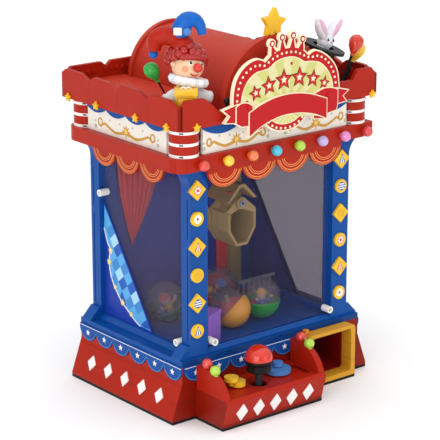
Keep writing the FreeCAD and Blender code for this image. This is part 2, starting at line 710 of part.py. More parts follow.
def horn(near, far, low_near, low_far, height, thick):
    """One bent horn: up from near, over in a half circle, and down to far."""
    sweep = 180 if far > near else -180
    middle = in_front((near + far) / 2, height, HORN_TURN)
    circle = Part.makeCircle(thick, in_front(far, height, HORN_TURN), V(0, 0, 1))
    section = Part.Face(Part.Wire(circle))
    angle = math.radians(HORN_TURN)
    bend = section.revolve(middle, V(math.sin(angle), -math.cos(angle), 0), sweep)
    legs = [rod(thick, in_front(reach, low, HORN_TURN), in_front(reach, height, HORN_TURN))
            for reach, low in ((near, low_near), (far, low_far))]
    return join(bend, *legs)


def clown_hat():
    """Curly hair under a two-horned jester's hat, with a ball on the tip of the rear horn."""
    hair = ball(HEAD_R + 4.5, in_front(-2.5, 11.5))
    face = rod(30.0, in_front(3.0, -23.0), in_front(40.0, -23.0))
    under = box(HEAD.x - 40, HEAD.x + 40, HEAD.y - 40, HEAD.y + 40, HEAD.z - 60, HEAD.z - 6.0)
    hair = hair.cut([face, under, ball(HEAD_R + GAP, HEAD)])
    rear_horn = horn(-7.5, -35.5, 18.0, 15.0, 19.0, 8.0)
    front_horn = horn(-8.0, 15.5, 24.0, 37.0, 41.0, 7.4)
    tip_ball = ball(5.0, in_front(-35.5, 11.0, HORN_TURN))
    return join(hair, rear_horn, front_horn, tip_ball)


def gift_box(spare=0.0):
    """The gift in the clown's hands; spare swells it on every side to cut room for it."""
    centre = V(-116.5, -87.8, 362.8)
    half = 9.5 + spare
    cube = box(centre.x - half, centre.x + half, centre.y - half, centre.y + half,
               ROOF_TOP, centre.z + half)
    rim = half + 1.0
    lid = box(centre.x - rim, centre.x + rim, centre.y - rim, centre.y + rim,
              centre.z + half - 6, centre.z + half)
    return turned(join(cube, lid), centre, V(0, 0, 1), -39.0)


# ---------------------------------------------------------------- gantry and claw
def gantry_rails():
    rail = box(92.0, BEAM_HOLE_X, -BEAM_HOLE_Y, BEAM_HOLE_Y, RAIL_Z0, RAIL_Z1)
    return [rail, mirror_x(rail)]


def bridge():
    """Two cross bars joined at their ends, with shoes that slide along the rails."""
    pieces = []
    for side in (-1, 1):
        y = CLAW_Y + side * 15.5
        pieces.append(box(-91.5, 91.5, y - 2.5, y + 2.5, 276.0, 284.0))
        x0, x1 = sorted((side * 84.0, side * 91.5))
        pieces.append(box(x0, x1, CLAW_Y - 18, CLAW_Y + 18, 276.0, 298.0))
        x0, x1 = sorted((side * 84.0, side * 99.5))
        pieces.append(box(x0, x1, CLAW_Y - 18, CLAW_Y + 18, RAIL_Z1 + GAP, 298.0))
    return join(*pieces)


def trolley():
    """A block that hangs between the cross bars and guides the toothed mast."""
    core = box(-15.0, 15.0, CLAW_Y - 12.7, CLAW_Y + 12.7, 260.0, 284.0 + GAP)
    top = box(-15.0, 15.0, CLAW_Y - 18.0, CLAW_Y + 18.0, 284.0 + GAP, 289.0)
    half = MAST_HALF + 0.08
    bore = box(-half, half, CLAW_Y - half, CLAW_Y + half, 259.0, 290.0)
    return join(core, top).cut(bore)


def claw_mast():
    mast = box(-MAST_HALF, MAST_HALF, CLAW_Y - MAST_HALF, CLAW_Y + MAST_HALF, 237.0, MAST_TOP)
    notches = []
    for index in range(22):
        z = 240.0 + RACK_PITCH * index
        notches.append(box(-MAST_HALF - 1, -MAST_HALF + 1.2, CLAW_Y - 5, CLAW_Y + 5,
                           z, z + RACK_PITCH / 2))
    return mast.cut(notches)


def claw_head():
    """The peaked hood over the jaws, with the web that holds the axle."""
    y0, y1 = CLAW_Y - CLAW_HALF_DEPTH, CLAW_Y + CLAW_HALF_DEPTH
    hood = slab("y", y0, y1, (-21.5, 218.5), (-4.0, 237.0), (4.0, 237.0), (21.5, 218.5), (17.0, 218.5),
                (2.0, 233.6), (-2.0, 233.6), (-17.0, 218.5))
    web = slab("y", CLAW_Y - 3, CLAW_Y + 3, (-7.0, 208.0), (7.0, 208.0), (7.0, 228.0), (2.0, 234.0),
               (-2.0, 234.0), (-7.0, 228.0))
    bore = rod(AXLE_R + 0.02, V(0, y0 - 1, AXLE_Z), V(0, y1 + 1, AXLE_Z))
    return join(hood, web).cut(bore)


def claw_axle():
    y0, y1 = CLAW_Y - CLAW_HALF_DEPTH - 1.5, CLAW_Y + CLAW_HALF_DEPTH + 1.5
    solid = rod(AXLE_R, V(0, y0, AXLE_Z), V(0, y1, AXLE_Z))
    return solid.cut(rod(1.8, V(0, y0 - 1, AXLE_Z), V(0, y0 + 4, AXLE_Z)))


def jaw(arm_spans):
    """The right jaw: half an eight-sided bucket with an end wall at the rear and two hinge arms."""
    y0, y1 = CLAW_Y - CLAW_HALF_DEPTH, CLAW_Y + CLAW_HALF_DEPTH
    seam = GAP / 2
    shell = slab("y", y0, y1, (seam, JAW_BOTTOM), (8.0, JAW_BOTTOM), (20.0, 184.0), (20.0, JAW_TOP),
                 (20.0 - JAW_WALL, JAW_TOP), (20.0 - JAW_WALL, 185.0), (6.7, JAW_BOTTOM + JAW_WALL),
                 (seam, JAW_BOTTOM + JAW_WALL))
    rear = slab("y", y1 - JAW_WALL, y1, (seam, JAW_BOTTOM), (8.0, JAW_BOTTOM), (20.0, 184.0),
                (20.0, JAW_TOP), (seam, JAW_TOP))
    pieces = [shell, rear]
    for a, b in arm_spans:
        pieces.append(slab("y", a, b, (0.0, 208.5), (16.8, 202.0), (20.0, 202.0), (20.0, 206.5),
                           (3.0, 221.0)))
        pieces.append(rod(7.0, V(0, a, AXLE_Z), V(0, b, AXLE_Z)))
    whole = join(*pieces)
    grooves = []
    for y in (CLAW_Y - 10.5, CLAW_Y, CLAW_Y + 10.5):
        grooves.append(slab("y", y - 0.7, y + 0.7, (8.4, JAW_BOTTOM - 1), (21.0, JAW_BOTTOM - 1),
                            (21.0, JAW_TOP - 3), (19.2, JAW_TOP - 3), (19.2, 184.4),
                            (7.6, JAW_BOTTOM + 0.9)))
    bore = rod(AXLE_R + RUNNING_FIT, V(0, y0 - 5, AXLE_Z), V(0, y1 + 5, AXLE_Z))
    return whole.cut(grooves + [bore])


def jaws():
    front = CLAW_Y - CLAW_HALF_DEPTH
    right = jaw(((front, front + 3.2), (CLAW_Y + 6.5, CLAW_Y + 9.7)))
    left = mirror_x(jaw(((front + 3.5, front + 6.7), (CLAW_Y + 10.0, CLAW_Y + 13.2))))
    return left, right


# ---------------------------------------------------------------- prizes
CAPSULES = (
    # centre x, centre y, tilt axis, tilt in degrees
    (-17.0, -42.0, V(0.8, 0.6, 0), -50.0),
    (31.0, -38.0, V(0, 0, 1), 0.0),
    (18.0, 24.0, V(1, 0, 0), 35.0),
    (-62.0, 20.0, V(0, 1, 0), -30.0),
)
SHELL_WALL = 1.6


def capsule(x, y, axis, tilt):
    """One prize capsule: a coloured cup and a taller clear cap."""
    centre = V(x, y, DECK_TOP + CAPSULE_R + 0.05)
    outer = ball(CAPSULE_R, centre)
    inner = ball(CAPSULE_R - SHELL_WALL, centre)
    below = box(x - 30, x + 30, y - 30, y + 30, centre.z - 30, centre.z)
    cup = outer.common(below).cut(inner)
    stretch = 5.0
    wall = rod(CAPSULE_R, centre, V(x, y, centre.z + stretch))
    dome_centre = V(x, y, centre.z + stretch)
    above = box(x - 30, x + 30, y - 30, y + 30, dome_centre.z, centre.z + 40)
    dome = join(wall, ball(CAPSULE_R, dome_centre).common(above))
    room = join(rod(CAPSULE_R - SHELL_WALL, V(x, y, centre.z - 1), dome_centre),
                ball(CAPSULE_R - SHELL_WALL, dome_centre).common(above))
    cap = dome.cut(room)
    return [turned(piece, centre, axis, tilt) for piece in (cup, cap)]


# ---------------------------------------------------------------- write the pieces
def main():
    os.makedirs("parts", exist_ok=True)
    save("base_plate", base_plate())
    save("base_shell", base_shell())
    save("console_shell", console_shell())
    save("console_cheeks", *console_cheeks())
    save("diamond_tiles", *diamond_tiles())
    save("chute_frame", chute_frame())
    save("prize_ramp", prize_ramp())
    save("coin_slot", coin_slot())
    save("yellow_crank_knob", crank_knob(YELLOW_CRANK, 168.0, 8.2, 8.6, 8.0, 44.2))
    save("yellow_crank_shaft", crank_shaft(YELLOW_CRANK))
    save("blue_crank_knob", crank_knob(BLUE_CRANK, 50.0, 4.0, 15.0, 6.0, 43.0))
    save("blue_crank_shaft", crank_shaft(BLUE_CRANK))
    save("stick_gimbal", stick_gimbal())
    save("stick_shaft", stick_shaft())
    save("stick_dish", stick_dish())
    save("stick_ball", stick_ball())

    save("deck", deck())
    save("skirt", *skirt())
    rear_right = post()
    save("rear_posts", rear_right, mirror_x(rear_right))
    save("front_posts", mirror_y(rear_right), mirror_x(mirror_y(rear_right)))
    save("sills", *sills())
    save("window_front", box(-POST_X0, POST_X0, -86.0, -86.0 + PANE, SILL_TOP, BEAM_BOTTOM))
    save("side_windows", side_window(), mirror_x(side_window()))
    save("back_wall", box(-POST_X0, POST_X0, 82.0, 85.0, DECK_TOP, BEAM_BOTTOM))
    save("window_pins", *window_pins())
    save("side_panels", *side_panels())
    save("rear_column", box(74.0, 90.0, 70.0, 82.0, DECK_TOP, 262.0))
    save("curtains", *curtains())
    save("picket_fence", picket_fence())
    save("yellow_tiles", *yellow_tiles(), *star_studs())

    save("beam", beam())
    save("lamps", *lamps())
    save("drapes", *drapes())
    save("column_cores", *column_cores())
    save("column_rings", *column_rings())
    save("frieze_panels", *frieze_panels())
    save("frieze_valance", *frieze_valance())
    save("roof_deck", roof_deck())
    save("parapet", *parapet())
    save("vault", vault())
    save("sign_board", sign_board())
    save("roof_star", roof_star())
    save("top_hat", top_hat())
    save("rabbit", rabbit())
    save("balloons", *balloons())
    save("clown_body", clown_body())
    save("clown_collar", clown_collar())
    save("clown_head", clown_head())
    save("clown_hat", clown_hat())
    save("gift_box", gift_box())

    save("gantry_rails", *gantry_rails())
    save("bridge", bridge())
    save("trolley", trolley())
    save("claw_mast", claw_mast())
    save("claw_head", claw_head())
    save("claw_axle", claw_axle())
    left, right = jaws()
    save("jaw_left", left)
    save("jaw_right", right)
    pieces = [capsule(*place) for place in CAPSULES]
    save("capsule_cups", *[cup for cup, cap in pieces])
    save("capsule_caps", *[cap for cup, cap in pieces])


main()
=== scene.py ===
"""Looks of the toy circus claw machine: finishes, printed decoration and the modelled figures.

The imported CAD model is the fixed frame.  New pieces are written in millimetres in the same frame
(+X to the player's right, +Y to the rear, +Z up) and scaled to metres as each mesh is made.
"""
import bmesh
import bpy
from functools import partial
from itertools import product
from math import asin, cos, dist, pi, radians, sin, sqrt
from mathutils import Matrix, Vector
from random import Random


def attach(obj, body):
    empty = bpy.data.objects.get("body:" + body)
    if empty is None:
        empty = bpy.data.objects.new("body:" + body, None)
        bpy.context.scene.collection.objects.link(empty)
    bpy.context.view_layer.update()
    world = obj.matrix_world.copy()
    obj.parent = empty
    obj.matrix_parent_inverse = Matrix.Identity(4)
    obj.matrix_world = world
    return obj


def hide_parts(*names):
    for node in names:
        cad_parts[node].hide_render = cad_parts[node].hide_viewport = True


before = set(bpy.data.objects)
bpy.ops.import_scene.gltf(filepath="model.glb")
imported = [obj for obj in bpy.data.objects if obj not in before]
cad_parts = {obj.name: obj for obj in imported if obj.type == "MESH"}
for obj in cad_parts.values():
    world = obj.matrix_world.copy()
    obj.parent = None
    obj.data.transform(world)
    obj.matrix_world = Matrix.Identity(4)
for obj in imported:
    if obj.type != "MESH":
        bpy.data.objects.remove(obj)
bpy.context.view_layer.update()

MM = 0.001
UP = (0, 0, 1)
STICK_PLACE = (-48, -128)
CONSOLE_TOP = 36


def rgb(code):
    """Linear colour of a six-digit sRGB code."""
    values = [int(code[i:i + 2], 16) / 255 for i in (0, 2, 4)]
    return tuple(v / 12.92 if v <= 0.04045 else ((v + 0.055) / 1.055) ** 2.4 for v in values) + (1.0,)


def shade(colour, factor):
    return tuple(min(1.0, part * factor) for part in colour[:3]) + (1.0,)


# ---- node materials
class Finish:
    """One node material, laid out in millimetres; its pattern methods give back a node's output."""

    def __init__(self, name):
        self.material = bpy.data.materials.new(name)
        self.material.use_nodes = True
        self.tree = self.material.node_tree
        self.shader = self.tree.nodes["Principled BSDF"]
        metres = self.add("TexCoord").outputs["Object"]
        self.place = self.add("VectorMath", {0: metres, "Scale": 1 / MM}, operation="SCALE").outputs[0]
        self.x, self.y, self.z = self.add("SeparateXYZ", {0: self.place}).outputs

    def put(self, value, socket):
        if isinstance(value, bpy.types.NodeSocket):
            self.tree.links.new(value, socket)
        else:
            socket.default_value = value

    def add(self, kind, inputs=None, **settings):
        """A new node with these settings, and a value or a link on each of these inputs."""
        node = self.tree.nodes.new("ShaderNode" + kind)
        for name, value in settings.items():
            setattr(node, name, value)
        for key, value in (inputs or {}).items():
            self.put(value, node.inputs[key])
        return node

    def set(self, **values):
        for name, value in values.items():
            self.put(value, self.shader.inputs[name.replace("_", " ")])

    def math(self, operation, a, b):
        return self.add("Math", {0: a, 1: b}, operation=operation).outputs[0]

    def mix(self, amount, low, high):
        return self.add("Mix", {0: amount, 6: low, 7: high}, data_type="RGBA").outputs[2]

    def noise(self, size, detail=2.0, stretch=None):
        place = self.place
        if stretch:
            place = self.add("VectorMath", {0: place, 1: stretch}, operation="MULTIPLY").outputs[0]
        return self.add("TexNoise", {"Scale": 1 / size, "Detail": detail, "Vector": place}).outputs["Fac"]

    def span(self, value, low, high, start=0.0, end=1.0):
        """Map low..high onto start..end, held inside those ends."""
        inputs = {"Value": value, "From Min": low, "From Max": high, "To Min": start, "To Max": end}
        return self.add("MapRange", inputs).outputs[0]

    def lines(self, along, pitch, width, offset=0.0):
        """1 on thin lines that repeat every pitch millimetres of a coordinate, else 0."""
        shifted = self.math("DIVIDE", self.math("SUBTRACT", along, offset), pitch)
        wave = self.math("PINGPONG", shifted, 0.5)
        return self.span(wave, 0.5 * width / pitch, width / pitch, 1.0, 0.0)

    def rounded(self, radius=0.45):
        """A normal that rounds sharp moulded edges, and how far it turns from the flat face."""
        round_normal = self.add("Bevel", {"Radius": radius * MM}, samples=4).outputs[0]
        flat_normal = self.add("NewGeometry").outputs["Normal"]
        turned = self.add("VectorMath", {0: round_normal, 1: flat_normal}, operation="DOT_PRODUCT")
        return round_normal, self.span(turned.outputs["Value"], 0.80, 0.995, 1.0, 0.0)

    def bump(self, height, depth, normal=None):
        inputs = {"Height": height, "Distance": depth * MM, "Strength": 1.0}
        if normal is not None:
            inputs["Normal"] = normal
        return self.add("Bump", inputs).outputs[0]


def plastic(name, code, rough=0.34, seams=(), edge_highlight=1.25, coat=0.0, cloud_size=30.0):
    """Moulded plastic: faint flow marks, fine texture, seams between bricks, and edges lightened as a
    painted highlight.
    """
    look, colour = Finish(name), rgb(code)
    cloud = look.noise(cloud_size, 3.0)
    fine = look.noise(0.9, 2.0)
    scuffs = look.span(look.noise(5.0, 4.0, (1.0, 1.0, 0.25)), 0.62, 0.72)
    base = look.mix(cloud, shade(colour, 0.90), shade(colour, 1.10))
    base = look.mix(look.math("MULTIPLY", scuffs, 0.10), base, shade(colour, 1.4))
    normal, edge = look.rounded()
    # painted highlight: the base colour is lightened along the rounded edges
    base = look.mix(look.math("MULTIPLY", edge, 0.35), base, shade(colour, edge_highlight))
    height = look.math("MULTIPLY", fine, 0.12)
    for axis, pitch, offset in seams:
        gap = look.lines(getattr(look, axis), pitch, 0.34, offset)
        base = look.mix(look.math("MULTIPLY", gap, 0.55), base, shade(colour, 0.32))
        height = look.math("SUBTRACT", height, gap)
    look.set(Base_Color=base, Normal=look.bump(height, 0.16, normal))
    look.set(Roughness=look.span(look.noise(7.0, 3.0), 0.3, 0.7, rough - 0.05, rough + 0.07))
    look.set(Coat_Weight=coat, Coat_Roughness=0.12, Specular_IOR_Level=0.16)
    return look.material


def printed(name, code, rough=0.38):
    """Printed ink: a thin, slightly uneven layer."""
    look, colour = Finish(name), rgb(code)
    grain = look.noise(0.35, 2.0)
    base = look.mix(grain, shade(colour, 0.93), shade(colour, 1.05))
    look.set(Base_Color=base, Roughness=look.span(grain, 0.3, 0.7, rough - 0.05, rough + 0.05))
    look.set(Normal=look.bump(grain, 0.01), Specular_IOR_Level=0.2)
    return look.material


PANEL_SLOPE, PANEL_FOOT = 1.54, 90.0


def pane(name, code, haze, left, right, rough=0.07):
    """A clear sheet with a faint haze.

    left and right are the shares of light let through at each side of the toy; a lower right share is
    painted shade on that side of the same sheet.
    The right one is only reached above the sloping edge of the side panels, so the panel below it is seen in
    full colour.
    """
    look, colour = Finish(name), rgb(code)
    streaks = look.noise(18.0, 2.0, (1.0, 1.0, 0.12))
    look.set(Base_Color=look.mix(streaks, shade(colour, 0.85), shade(colour, 1.15)))
    look.set(Roughness=look.span(look.noise(3.0, 2.0), 0.3, 0.7, rough, rough + 0.05))
    look.set(Specular_IOR_Level=0.5)
    # painted shade: sheets towards the right pass less light than towards the left, above the side panels'
    # sloping edge
    above_panel = look.math("SUBTRACT", look.z, look.math("MULTIPLY", look.y, PANEL_SLOPE))
    past_edge = look.span(above_panel, PANEL_FOOT, PANEL_FOOT + 4.0)
    painted_shade_side = look.math("MULTIPLY", look.span(look.x, -60.0, 100.0), past_edge)
    passed = look.span(painted_shade_side, 0.0, 1.0, left, right)
    tint = look.mix(passed, (0.0, 0.0, 0.0, 1.0), (0.98, 0.96, 1.0, 1.0))
    through = look.add("BsdfTransparent", {"Color": tint})
    share = look.span(streaks, 0.3, 0.7, 0.9 * haze, 1.1 * haze)
    blend = look.add("MixShader", {0: share, 1: through.outputs[0], 2: look.shader.outputs[0]})
    look.put(blend.outputs[0], look.tree.nodes["Material Output"].inputs["Surface"])
    return look.material


def pearl(name, code):
    """A pearly lamp globe: soft sheen over a milky body."""
    look, colour = Finish(name), rgb(code)
    swirl = look.noise(3.2, 3.0)
    look.set(Base_Color=look.mix(swirl, shade(colour, 0.82), shade(colour, 1.20)))
    look.set(Roughness=look.span(swirl, 0.3, 0.7, 0.18, 0.28), Coat_Weight=0.9, Coat_Roughness=0.06)
    look.set(Subsurface_Weight=0.15, Subsurface_Radius=(0.004, 0.004, 0.004), Subsurface_Scale=0.4)
    look.set(Normal=look.bump(look.noise(0.8, 2.0), 0.02))
    return look.material


def skin(name):
    look = Finish(name)
    pores = look.noise(0.8, 3.0)
    flush = look.noise(14.0, 2.0)
    look.set(Base_Color=look.mix(flush, shade(rgb("ecc097"), 0.94), rgb("f1c7a4")))
    look.set(Roughness=look.span(pores, 0.3, 0.7, 0.40, 0.50), Normal=look.bump(pores, 0.02))
    look.set(Subsurface_Weight=0.12, Subsurface_Radius=(0.006, 0.003, 0.002), Subsurface_Scale=0.5)
    return look.material


def rayed(name, centre_x, centre_z):
    """The sign's field: cream and pale yellow-green rays from a point low on the board."""
    look = Finish(name)
    angle = look.math("ARCTAN2", look.math("SUBTRACT", look.z, centre_z),
                      look.math("SUBTRACT", look.x, centre_x))
    wave = look.math("SINE", look.math("MULTIPLY", angle, 15.0), 0.0)
    rays = look.span(wave, -0.35, 0.35)
    grain = look.noise(2.0, 3.0)
    base = look.mix(rays, rgb("dbd29a"), rgb("c6c668"))
    base = look.mix(look.math("MULTIPLY", grain, 0.15), base, rgb("e6e0c0"))
    look.set(Base_Color=base, Roughness=look.span(grain, 0.3, 0.7, 0.32, 0.44))
    look.set(Normal=look.bump(grain, 0.01))
    return look.material


RED, BLUE = "a8200b", "084a98"

red = plastic("red_brick", RED, 0.36)
red_wall = plastic("red_wall", RED, 0.36, (("z", 19.2, 3.2), ("x", 64.0, 0.0), ("y", 64.0, 32.0)))
red_console = plastic("red_console", RED, 0.34, (("x", 48.0, -16.0), ("y", 32.0, -112.0)))
red_beam = plastic("red_beam", RED, 0.33, (("x", 64.0, 0.0), ("y", 64.0, 32.0)))
red_parapet = plastic("red_parapet", RED, 0.38, (("y", 53.0, 0.0), ("x", 54.8, 27.4)))
red_roof = plastic("red_roof", "b53220", 0.44)
red_cloth = plastic("red_drape", "ad260c", 0.40)
dark_red = plastic("dark_red", "7d120c", 0.36)
blue = plastic("blue_brick", BLUE, 0.33)
blue_deck = plastic("blue_deck", BLUE, 0.32, (("x", 64.0, 0.0), ("y", 64.0, 32.0)))
navy = plastic("navy", "1a3aa0", 0.36)
sand_blue = plastic("sand_blue", "4f83c4", 0.34)
yellow = plastic("yellow", "f0bd28", 0.30, coat=0.2)
gold = plastic("gold", "d49a2a", 0.34, (("z", 19.2, 3.2),))
tan = plastic("tan", "a9945a", 0.40)
white = plastic("white", "f1efec", 0.34)
cream = plastic("cream", "ece6dc", 0.36)
# black and dark grey get a stronger painted highlight along their edges
black = plastic("black", "151415", 0.30, edge_highlight=1.8)
dark_grey = plastic("dark_grey", "2e2f33", 0.34, edge_highlight=2.0)
grey = plastic("grey", "8d9096", 0.32)
gloss_red = plastic("gloss_red", "cf2a17", 0.16, coat=1.0)
hair_red = plastic("hair_red", "a5160f", 0.18, coat=0.8, cloud_size=6.0)
green = plastic("green", "2a9a3c", 0.22, coat=0.6)
light_skin = skin("doll_skin")
smoke = pane("front_pane", "a39fb4", 0.025, 0.96, 0.96)
# the right side window lets through less light than the left one: painted shade on one side of the same
# sheet
side_smoke_and_painted_shade = pane("side_pane", "a097aa", 0.07, 0.90, 0.42)
# the capsule caps also pass less light towards the right: painted shade
clear = pane("clear_shell", "d9d4d6", 0.07, 0.96, 0.90, 0.05)
ink_red = printed("ink_red", "c9281f")
ink_dark_red = printed("ink_dark_red", "7c1a16")
ink_white = printed("ink_white", "f2f0ee")
ink_blue = printed("ink_blue", "1c5cb4")
ink_mid_blue = printed("ink_mid_blue", "3f86cb")
ink_light_blue = printed("ink_light_blue", "58a8e0")
ink_ice_blue = printed("ink_ice_blue", "a4d4f0")
ink_pink = printed("ink_pink", "e98a80")
ink_ochre = printed("ink_ochre", "b98a1c")
ink_gold = printed("ink_gold", "cf9c3c")
ink_sage = printed("ink_sage", "b7bfa6")
ink_yellow = printed("ink_yellow", "f0d36a")
ink_orange = printed("ink_orange", "f6a562")
sign_cream = printed("sign_cream", "fbe9c8")
sign_red = printed("sign_red", "b80f16")
sign_field = rayed("sign_field", -1.0, 335.0)
blush = printed("blush", "e79a80", 0.45)
brow_brown = printed("brow_brown", "6b2a18")
soft_white = plastic("soft_white", "e6e7ec", 0.46)
ear_pink = plastic("ear_pink", "dfb3cb", 0.42)
blue_cloth = plastic("blue_horn", "1560b8", 0.30, cloud_size=9.0)
curtain_red = plastic("curtain_red", "e2463a", 0.42)
balloon_red = plastic("balloon_red", "c9341f", 0.18, coat=0.8)
balloon_yellow = plastic("balloon_yellow", "eebd2c", 0.20, coat=0.6)
capsule_gold = plastic("capsule_gold", "d99a2c", 0.22, coat=0.6)
capsule_pine = plastic("capsule_pine", "27603c", 0.24, coat=0.5)
purple = plastic("purple", "9d72cf", 0.36)
orange_block = plastic("orange_block", "e08a1e", 0.34)


# ---- mesh helpers
def add_object(name, data):
    made = bpy.data.objects.new(name, data)
    bpy.context.collection.objects.link(made)
    return made


def finish_piece(name, mesh, materials, smooth=None, replaces=(), body="cabinet"):
    """Turn a bmesh in millimetres into a piece that rides on a body and stands in for CAD nodes."""
    bmesh.ops.recalc_face_normals(mesh, faces=mesh.faces)
    bmesh.ops.scale(mesh, vec=(MM, MM, MM), verts=mesh.verts)
    data = bpy.data.meshes.new(name)
    mesh.to_mesh(data)
    mesh.free()
    piece = add_object(name, data)
    for material in materials:
        data.materials.append(material)
    if smooth is not None:
        data.shade_smooth()
        data.set_sharp_from_angle(angle=radians(smooth))
    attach(piece, body)
    if replaces:
        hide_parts(*replaces)
    return piece


def join_rings(mesh, rings, material=0):
    """Faces between neighbouring rings of vertices, and a face over each end that is not a point."""
    faces = []
    for low, high in zip(rings, rings[1:]):
        count = max(len(low), len(high))
        for k in range(count):
            n = (k + 1) % count
            corners = (low[k % len(low)], low[n % len(low)], high[n % len(high)], high[k % len(high)])
            faces.append(mesh.faces.new(list(dict.fromkeys(corners))))
    faces += [mesh.faces.new(end) for end in (rings[0], rings[-1]) if len(end) > 2]
    for face in faces:
        face.material_index = material


class Face:
    """A face to lay plates and ribbons on; place(u, v, w) goes right, up and out of the face."""

    def __init__(self, mesh, place):
        self.mesh, self.place = mesh, place

    def plate(self, outline, high, material=0, low=0):
        """A flat plate with this outline, from low to high above the face."""
        rings = [[self.mesh.verts.new(self.place(u, v, level)) for u, v in outline] for level in (low, high)]
        join_rings(self.mesh, rings, material)

    def ribbon(self, line, width, high, material=0):
        """A flat ribbon along a line; width is a number or a function of the way along, 0 to 1."""
        rows = []
        for index, (u, v) in enumerate(line):
            before, after = line[max(index - 1, 0)], line[min(index + 1, len(line) - 1)]
            ahead = Vector((after[0] - before[0], after[1] - before[1])).normalized()
            half = (width(index / (len(line) - 1)) if callable(width) else width) / 2
            left, right = (u - ahead.y * half, v + ahead.x * half), (u + ahead.y * half, v - ahead.x * half)
            corners = (*left, 0), (*right, 0), (*right, high), (*left, high)
            rows.append([self.mesh.verts.new(self.place(*corner)) for corner in corners])
        join_rings(self.mesh, rows, material)


def on_front(mesh, level):
    return Face(mesh, lambda u, v, w: (u, level - w, v))


def on_back(mesh, level):
    return Face(mesh, lambda u, v, w: (-u, level + w, v))


def on_left(mesh, level):
    return Face(mesh, lambda u, v, w: (level - w, -u, v))


def on_right(mesh, level):
    return Face(mesh, lambda u, v, w: (level + w, u, v))


def around(x, z, reach, angle):
    """The point at a distance and an angle in radians from (x, z)."""
    return x + reach * cos(angle), z + reach * sin(angle)


def circle(x, z, radius, count=20, stretch=1):
    return [(x + radius * cos(2 * pi * k / count),
             z + radius * stretch * sin(2 * pi * k / count)) for k in range(count)]


def star_outline(x, z, radius, points=5, inner=0.45, tilt=0):
    start = radians(90 + tilt)
    return [around(x, z, radius * (inner if k % 2 else 1), start + pi * k / points)
            for k in range(2 * points)]


def inset(outline, distance):
    """The outline moved inwards by distance (a mitred offset)."""
    area = sum(a[0] * b[1] - b[0] * a[1] for a, b in zip(outline, outline[1:] + outline[:1]))
    side = 1 if area > 0 else -1
    result = []
    for index, here in enumerate(outline):
        before = outline[index - 1]
        after = outline[(index + 1) % len(outline)]
        first = Vector((here[0] - before[0], here[1] - before[1])).normalized()
        second = Vector((after[0] - here[0], after[1] - here[1])).normalized()
        turn_in = Vector((-first.y - second.y, first.x + second.x))
        if turn_in.length < 0.2:
            turn_in = Vector((-first.y, first.x))
        turn_in.normalize()
        stretch = 1 / max(0.45, abs(turn_in.dot(Vector((-first.y, first.x)))))
        result.append((here[0] + side * turn_in.x * distance * stretch,
                       here[1] + side * turn_in.y * distance * stretch))
    return result


def smooth_line(points, steps=6):
    """A Catmull-Rom curve through the points."""
    result = []
    for index in range(len(points) - 1):
        p0 = Vector(points[max(index - 1, 0)])
        p1, p2 = Vector(points[index]), Vector(points[index + 1])
        p3 = Vector(points[min(index + 2, len(points) - 1)])
        for k in range(steps):
            t = k / steps
            point = 0.5 * (2 * p1 + (p2 - p0) * t + (2 * p0 - 5 * p1 + 4 * p2 - p3) * t * t
                           + (3 * p1 - p0 - 3 * p2 + p3) * t * t * t)
            result.append(tuple(point))
    result.append(tuple(points[-1]))
    return result


def frame_from(axis):
    """Two directions square to an axis."""
    axis = axis.normalized()
    other = Vector(UP) if abs(axis.z) < 0.9 else Vector((1, 0, 0))
    first = axis.cross(other).normalized()
    return first, axis.cross(first).normalized()


def lathe(mesh, profile, base, axis=UP, count=28, material=0, wave=None):
    """Spin (radius, height) pairs about an axis; wave(turn, row) changes a radius."""
    axis = Vector(axis).normalized()
    first, second = frame_from(axis)
    base = Vector(base)
    rings = []
    for row, (radius, height) in enumerate(profile):
        if radius < 1e-6:
            rings.append([mesh.verts.new(base + axis * height)])
            continue
        ring = []
        for k in range(count):
            turn = 2 * pi * k / count
            reach = radius * (wave(turn, row) if wave else 1)
            ring.append(mesh.verts.new(base + axis * height
                                       + (first * cos(turn) + second * sin(turn)) * reach))
        rings.append(ring)
    join_rings(mesh, rings, material)


def ball_profile(radius, rows=10, low=-1, high=1, stretch=1):
    """Profile of a ball cut off between two heights, as fractions of its radius."""
    start, end = asin(low), asin(high)
    profile = []
    for k in range(rows + 1):
        angle = start + (end - start) * k / rows
        reach = radius * cos(angle)
        profile.append((reach if reach > radius * 0.01 else 0, radius * stretch * sin(angle)))
    return profile


def ball(mesh, centre, radius, material=0, count=20):
    lathe(mesh, ball_profile(radius), centre, UP, count, material)


def tube(mesh, path, radius, count=12, material=0):
    """A round tube along 3-D points; radius is a number or a function of the way along."""
    path = [Vector(point) for point in path]
    ahead = (path[1] - path[0]).normalized()
    side, _ = frame_from(ahead)
    rings = []
    for index, here in enumerate(path):
        before, after = path[max(index - 1, 0)], path[min(index + 1, len(path) - 1)]
        ahead = (after - before).normalized()
        side = (side - ahead * side.dot(ahead)).normalized()
        other = ahead.cross(side)
        reach = radius(index / (len(path) - 1)) if callable(radius) else radius
        rings.append([mesh.verts.new(here + (side * cos(2 * pi * k / count)
                                             + other * sin(2 * pi * k / count)) * reach)
                      for k in range(count)])
    join_rings(mesh, rings, material)


def soft_box(mesh, centre, size, turn=0, edge=0.6, material=0):
    """A box with bevelled edges, turned about the vertical."""
    verts = bmesh.ops.create_cube(mesh, size=1)["verts"]
    bmesh.ops.scale(mesh, vec=size, verts=verts)
    edges = {e for v in verts for e in v.link_edges}
    bevelled = bmesh.ops.bevel(mesh, geom=list(edges), offset=edge, segments=2, profile=0.7,
                               affect="EDGES")
    corners = {v for face in bevelled["faces"] for v in face.verts}
    grown = set(corners)
    for vert in corners:
        for face in vert.link_faces:
            grown.update(face.verts)
            face.material_index = material
    place = Matrix.Translation(Vector(centre)) @ Matrix.Rotation(radians(turn), 4, "Z")
    bmesh.ops.transform(mesh, matrix=place, verts=list(grown))


